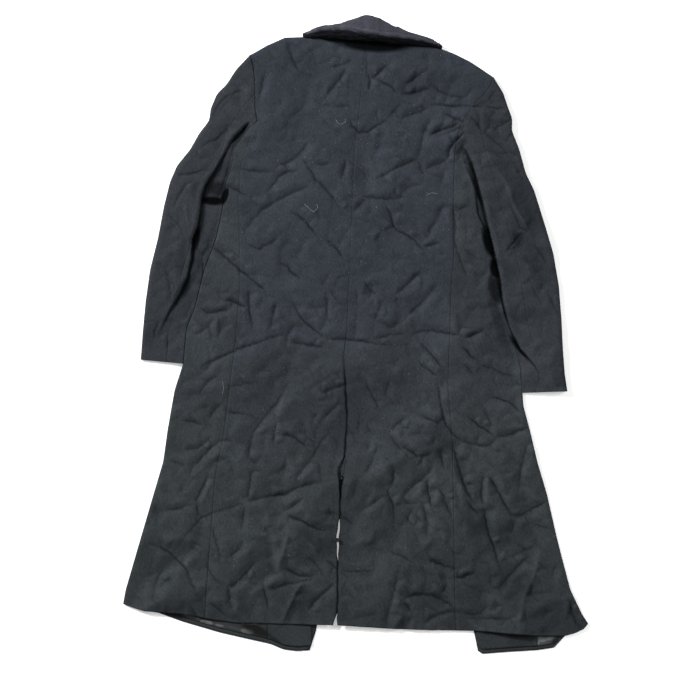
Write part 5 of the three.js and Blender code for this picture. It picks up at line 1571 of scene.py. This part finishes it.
def new_tree(name, sizes):
    """A geometry tree with a geometry input, named number inputs and one geometry output."""
    tree = bpy.data.node_groups.new(name, "GeometryNodeTree")
    tree.interface.new_socket("Geometry", in_out="INPUT", socket_type="NodeSocketGeometry")
    for size in sizes:
        tree.interface.new_socket(size, in_out="INPUT", socket_type="NodeSocketFloat")
    tree.interface.new_socket("Geometry", in_out="OUTPUT", socket_type="NodeSocketGeometry")
    return tree, add_node(tree, "NodeGroupInput").outputs


def end_tree(tree, geometry_out, material):
    """The tree's last nodes: real meshes, with their material, at the output."""
    real = add_node(tree, "GeometryNodeRealizeInstances", links={"Geometry": geometry_out})
    finish = {"Geometry": real.outputs["Geometry"]}
    dressed = add_node(tree, "GeometryNodeSetMaterial", {"Material": material}, finish)
    add_node(tree, "NodeGroupOutput", links={"Geometry": dressed.outputs["Geometry"]})


def grown(name, points, edges, tree, sizes):
    """The plain mesh that a tree grows on points and edges, given in millimetres."""
    mesh = bpy.data.meshes.new(name)
    mesh.from_pydata([tuple(np.array(point) * MM) for point in points], edges, [])
    made = bpy.data.objects.new(name, mesh)
    bpy.context.scene.collection.objects.link(made)
    modifier = made.modifiers.new(name, "NODES")
    modifier.node_group = tree
    for socket in tree.interface.items_tree:
        if socket.in_out == "INPUT" and socket.name in sizes:
            modifier[socket.identifier] = float(sizes[socket.name])
    result = bpy.data.meshes.new_from_object(made.evaluated_get(bpy.context.evaluated_depsgraph_get()))
    made.modifiers.clear()
    made.data = result
    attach(made, "root")


def row_of(points):
    """Edges that join points in a row."""
    return [(index, index + 1) for index in range(len(points) - 1)]


stitch_tree, given = new_tree("stitch_row", ["Pitch", "Length", "Thread"])
row = add_node(stitch_tree, "GeometryNodeMeshToCurve", links={"Mesh": given["Geometry"]}).outputs["Curve"]
along = {"Curve": row, "Length": given["Pitch"]}
spots = add_node(stitch_tree, "GeometryNodeCurveToPoints", {"mode": "LENGTH"}, along)
bead = add_node(stitch_tree, "GeometryNodeMeshUVSphere", {"Segments": 6, "Rings": 4, "Radius": 0.5})
sides = {"X": given["Thread"], "Y": given["Thread"], "Z": given["Length"]}
size = add_node(stitch_tree, "ShaderNodeCombineXYZ", links=sides)
beads = add_node(
    stitch_tree,
    "GeometryNodeInstanceOnPoints",
    links={
        "Points": spots.outputs["Points"],
        "Instance": bead.outputs["Mesh"],
        "Rotation": spots.outputs["Rotation"],
        "Scale": size.outputs["Vector"],
    },
)
end_tree(stitch_tree, beads.outputs["Instances"], spun_thread("spun_cotton_thread", "#24272C"))
stitch_sizes = {"Pitch": STITCH_PITCH * MM, "Length": STITCH_LENGTH * MM, "Thread": STITCH_THREAD * MM}

rows = []
for level in FALL_STITCH_LEVELS:
    rows.append(np.stack([fall_x[:, level], fall_y[:, level] - 0.3, fall_z[:, level] + 0.2], axis=1)[4:-4])
down = np.linspace(VENT_STITCH_FROM, VENT_STITCH_TO, 60)
for offset in VENT_STITCH_OFFSETS:
    x = read(CENTRE_BACK, "y", down, "left") + offset
    rows.append(np.stack([x, down, back_height(x, down) - LAP_LIFT * 0.3 + 0.2], axis=1))
for number, points in enumerate(rows):
    grown(f"stitch_row_{number + 1}", points, row_of(points), stitch_tree, stitch_sizes)


# Pale lint and a few loose threads have caught in the nap all over the back, most of them on the upper
# right. They are tiny curled fibres that only just show.
LINT_SEED = 23
LINT_COUNT = 560
LINT_AREA = (-300, 330), (-560, 560)
LINT_SEEN = [
    *((262.7, 272.8), (194.8, 187.4), (328.9, 262.6), (351.2, 338.3), (442.8, 542.8), (450.7, 552.7)),
    *((476.3, 567.6), (175.5, 514), (172, 533), (178.6, 558.6), (317, 68), (328, 291), (353, 300)),
]
# Lint lies thickest round one place: X and Y of it, and how far the thick part reaches
THICK_LINT = {"x": 60, "y": 330, "reach_x": 150, "reach_y": 230}
THIN_LINT = 0.3
THREADS_SEEN = [
    [(304, 204), (308.5, 208), (313.5, 212.5), (316.5, 210), (318, 206.5), (316, 204.5)],
    [(336, 120), (338, 124), (341.5, 125), (346, 122), (345, 119.5)],
    [(223, 381), (224, 388), (222.5, 394)],
    [(426, 196), (431, 193), (437, 194)],
]


def surface_height(x, y):
    """Height of whichever cloth is uppermost at a place."""
    x, y = np.asarray(x, float), np.asarray(y, float)
    return np.where(y > read(ARMPIT_LINE, "x", x, "y"), back_height(x, y), body_height(x, y))


rng = np.random.default_rng(LINT_SEED)
places = [photo_to_mm(point) for point in LINT_SEEN]
while len(places) < LINT_COUNT:
    x, y = (rng.uniform(*limits) for limits in LINT_AREA)
    off_x = (x - THICK_LINT["x"]) / THICK_LINT["reach_x"]
    off_y = (y - THICK_LINT["y"]) / THICK_LINT["reach_y"]
    wanted = THIN_LINT + (1 - THIN_LINT) * math.exp(-(off_x**2) - off_y**2)
    on_back = read(SIDE_SEAM_LEFT, "y", y, "x") < x < read(SIDE_SEAM_RIGHT, "y", y, "x")
    if rng.random() < wanted and on_back:
        places.append((x, y))
places = np.array(places)
lint_points = np.column_stack([places, surface_height(places[:, 0], places[:, 1]) + 0.15])

lint_tree, given = new_tree("lint", ["Least Size", "Most Size"])
spots = add_node(lint_tree, "GeometryNodeMeshToPoints", links={"Mesh": given["Geometry"]}).outputs["Points"]
speck = add_node(lint_tree, "GeometryNodeMeshIcoSphere", {"Subdivisions": 1, "Radius": 0.5}).outputs["Mesh"]
sizes = add_node(lint_tree, "FunctionNodeRandomValue", {"data_type": "FLOAT", "Seed": 5})
lint_tree.links.new(given["Least Size"], sizes.inputs[2])
lint_tree.links.new(given["Most Size"], sizes.inputs[3])
turns = add_node(lint_tree, "FunctionNodeRandomValue", {"data_type": "FLOAT_VECTOR", "Seed": 9})
turns.inputs[0].default_value = (-0.3, -0.3, 0.0)
turns.inputs[1].default_value = (0.3, 0.3, 6.28)
long = add_node(lint_tree, "ShaderNodeVectorMath", {"operation": "SCALE"}, {"Scale": sizes.outputs[1]})
long.inputs[0].default_value = (1.6, 0.8, 0.6)
given = {"Points": spots, "Instance": speck, "Rotation": turns.outputs[0], "Scale": long.outputs["Vector"]}
specks = add_node(lint_tree, "GeometryNodeInstanceOnPoints", links=given)
end_tree(lint_tree, specks.outputs["Instances"], spun_thread("wool_lint", "#7E8180"))
grown("lint_specks", lint_points, [], lint_tree, {"Least Size": 0.35 * MM, "Most Size": 1.15 * MM})

thread_tree, given = new_tree("loose_thread", ["Thread"])
run = add_node(thread_tree, "GeometryNodeMeshToCurve", links={"Mesh": given["Geometry"]}).outputs["Curve"]
round_section = add_node(thread_tree, "GeometryNodeCurvePrimitiveCircle", {"Resolution": 6})
thread_tree.links.new(given["Thread"], round_section.inputs["Radius"])
tube = add_node(
    thread_tree,
    "GeometryNodeCurveToMesh",
    {"Fill Caps": True},
    {"Curve": run, "Profile Curve": round_section.outputs["Curve"]},
)
end_tree(thread_tree, tube.outputs["Mesh"], spun_thread("loose_cotton_thread", "#8B8E90"))
for number, seen in enumerate(THREADS_SEEN):
    corner = np.array([photo_to_mm(point) for point in seen])
    spread = np.linspace(0, len(corner) - 1, 24)
    x, y = (soften(np.interp(spread, np.arange(len(corner)), corner[:, axis]), 2) for axis in (0, 1))
    points = np.column_stack([x, y, surface_height(x, y) + 0.5])
    grown(f"loose_thread_{number + 1}", points, row_of(points), thread_tree, {"Thread": 0.22 * MM})
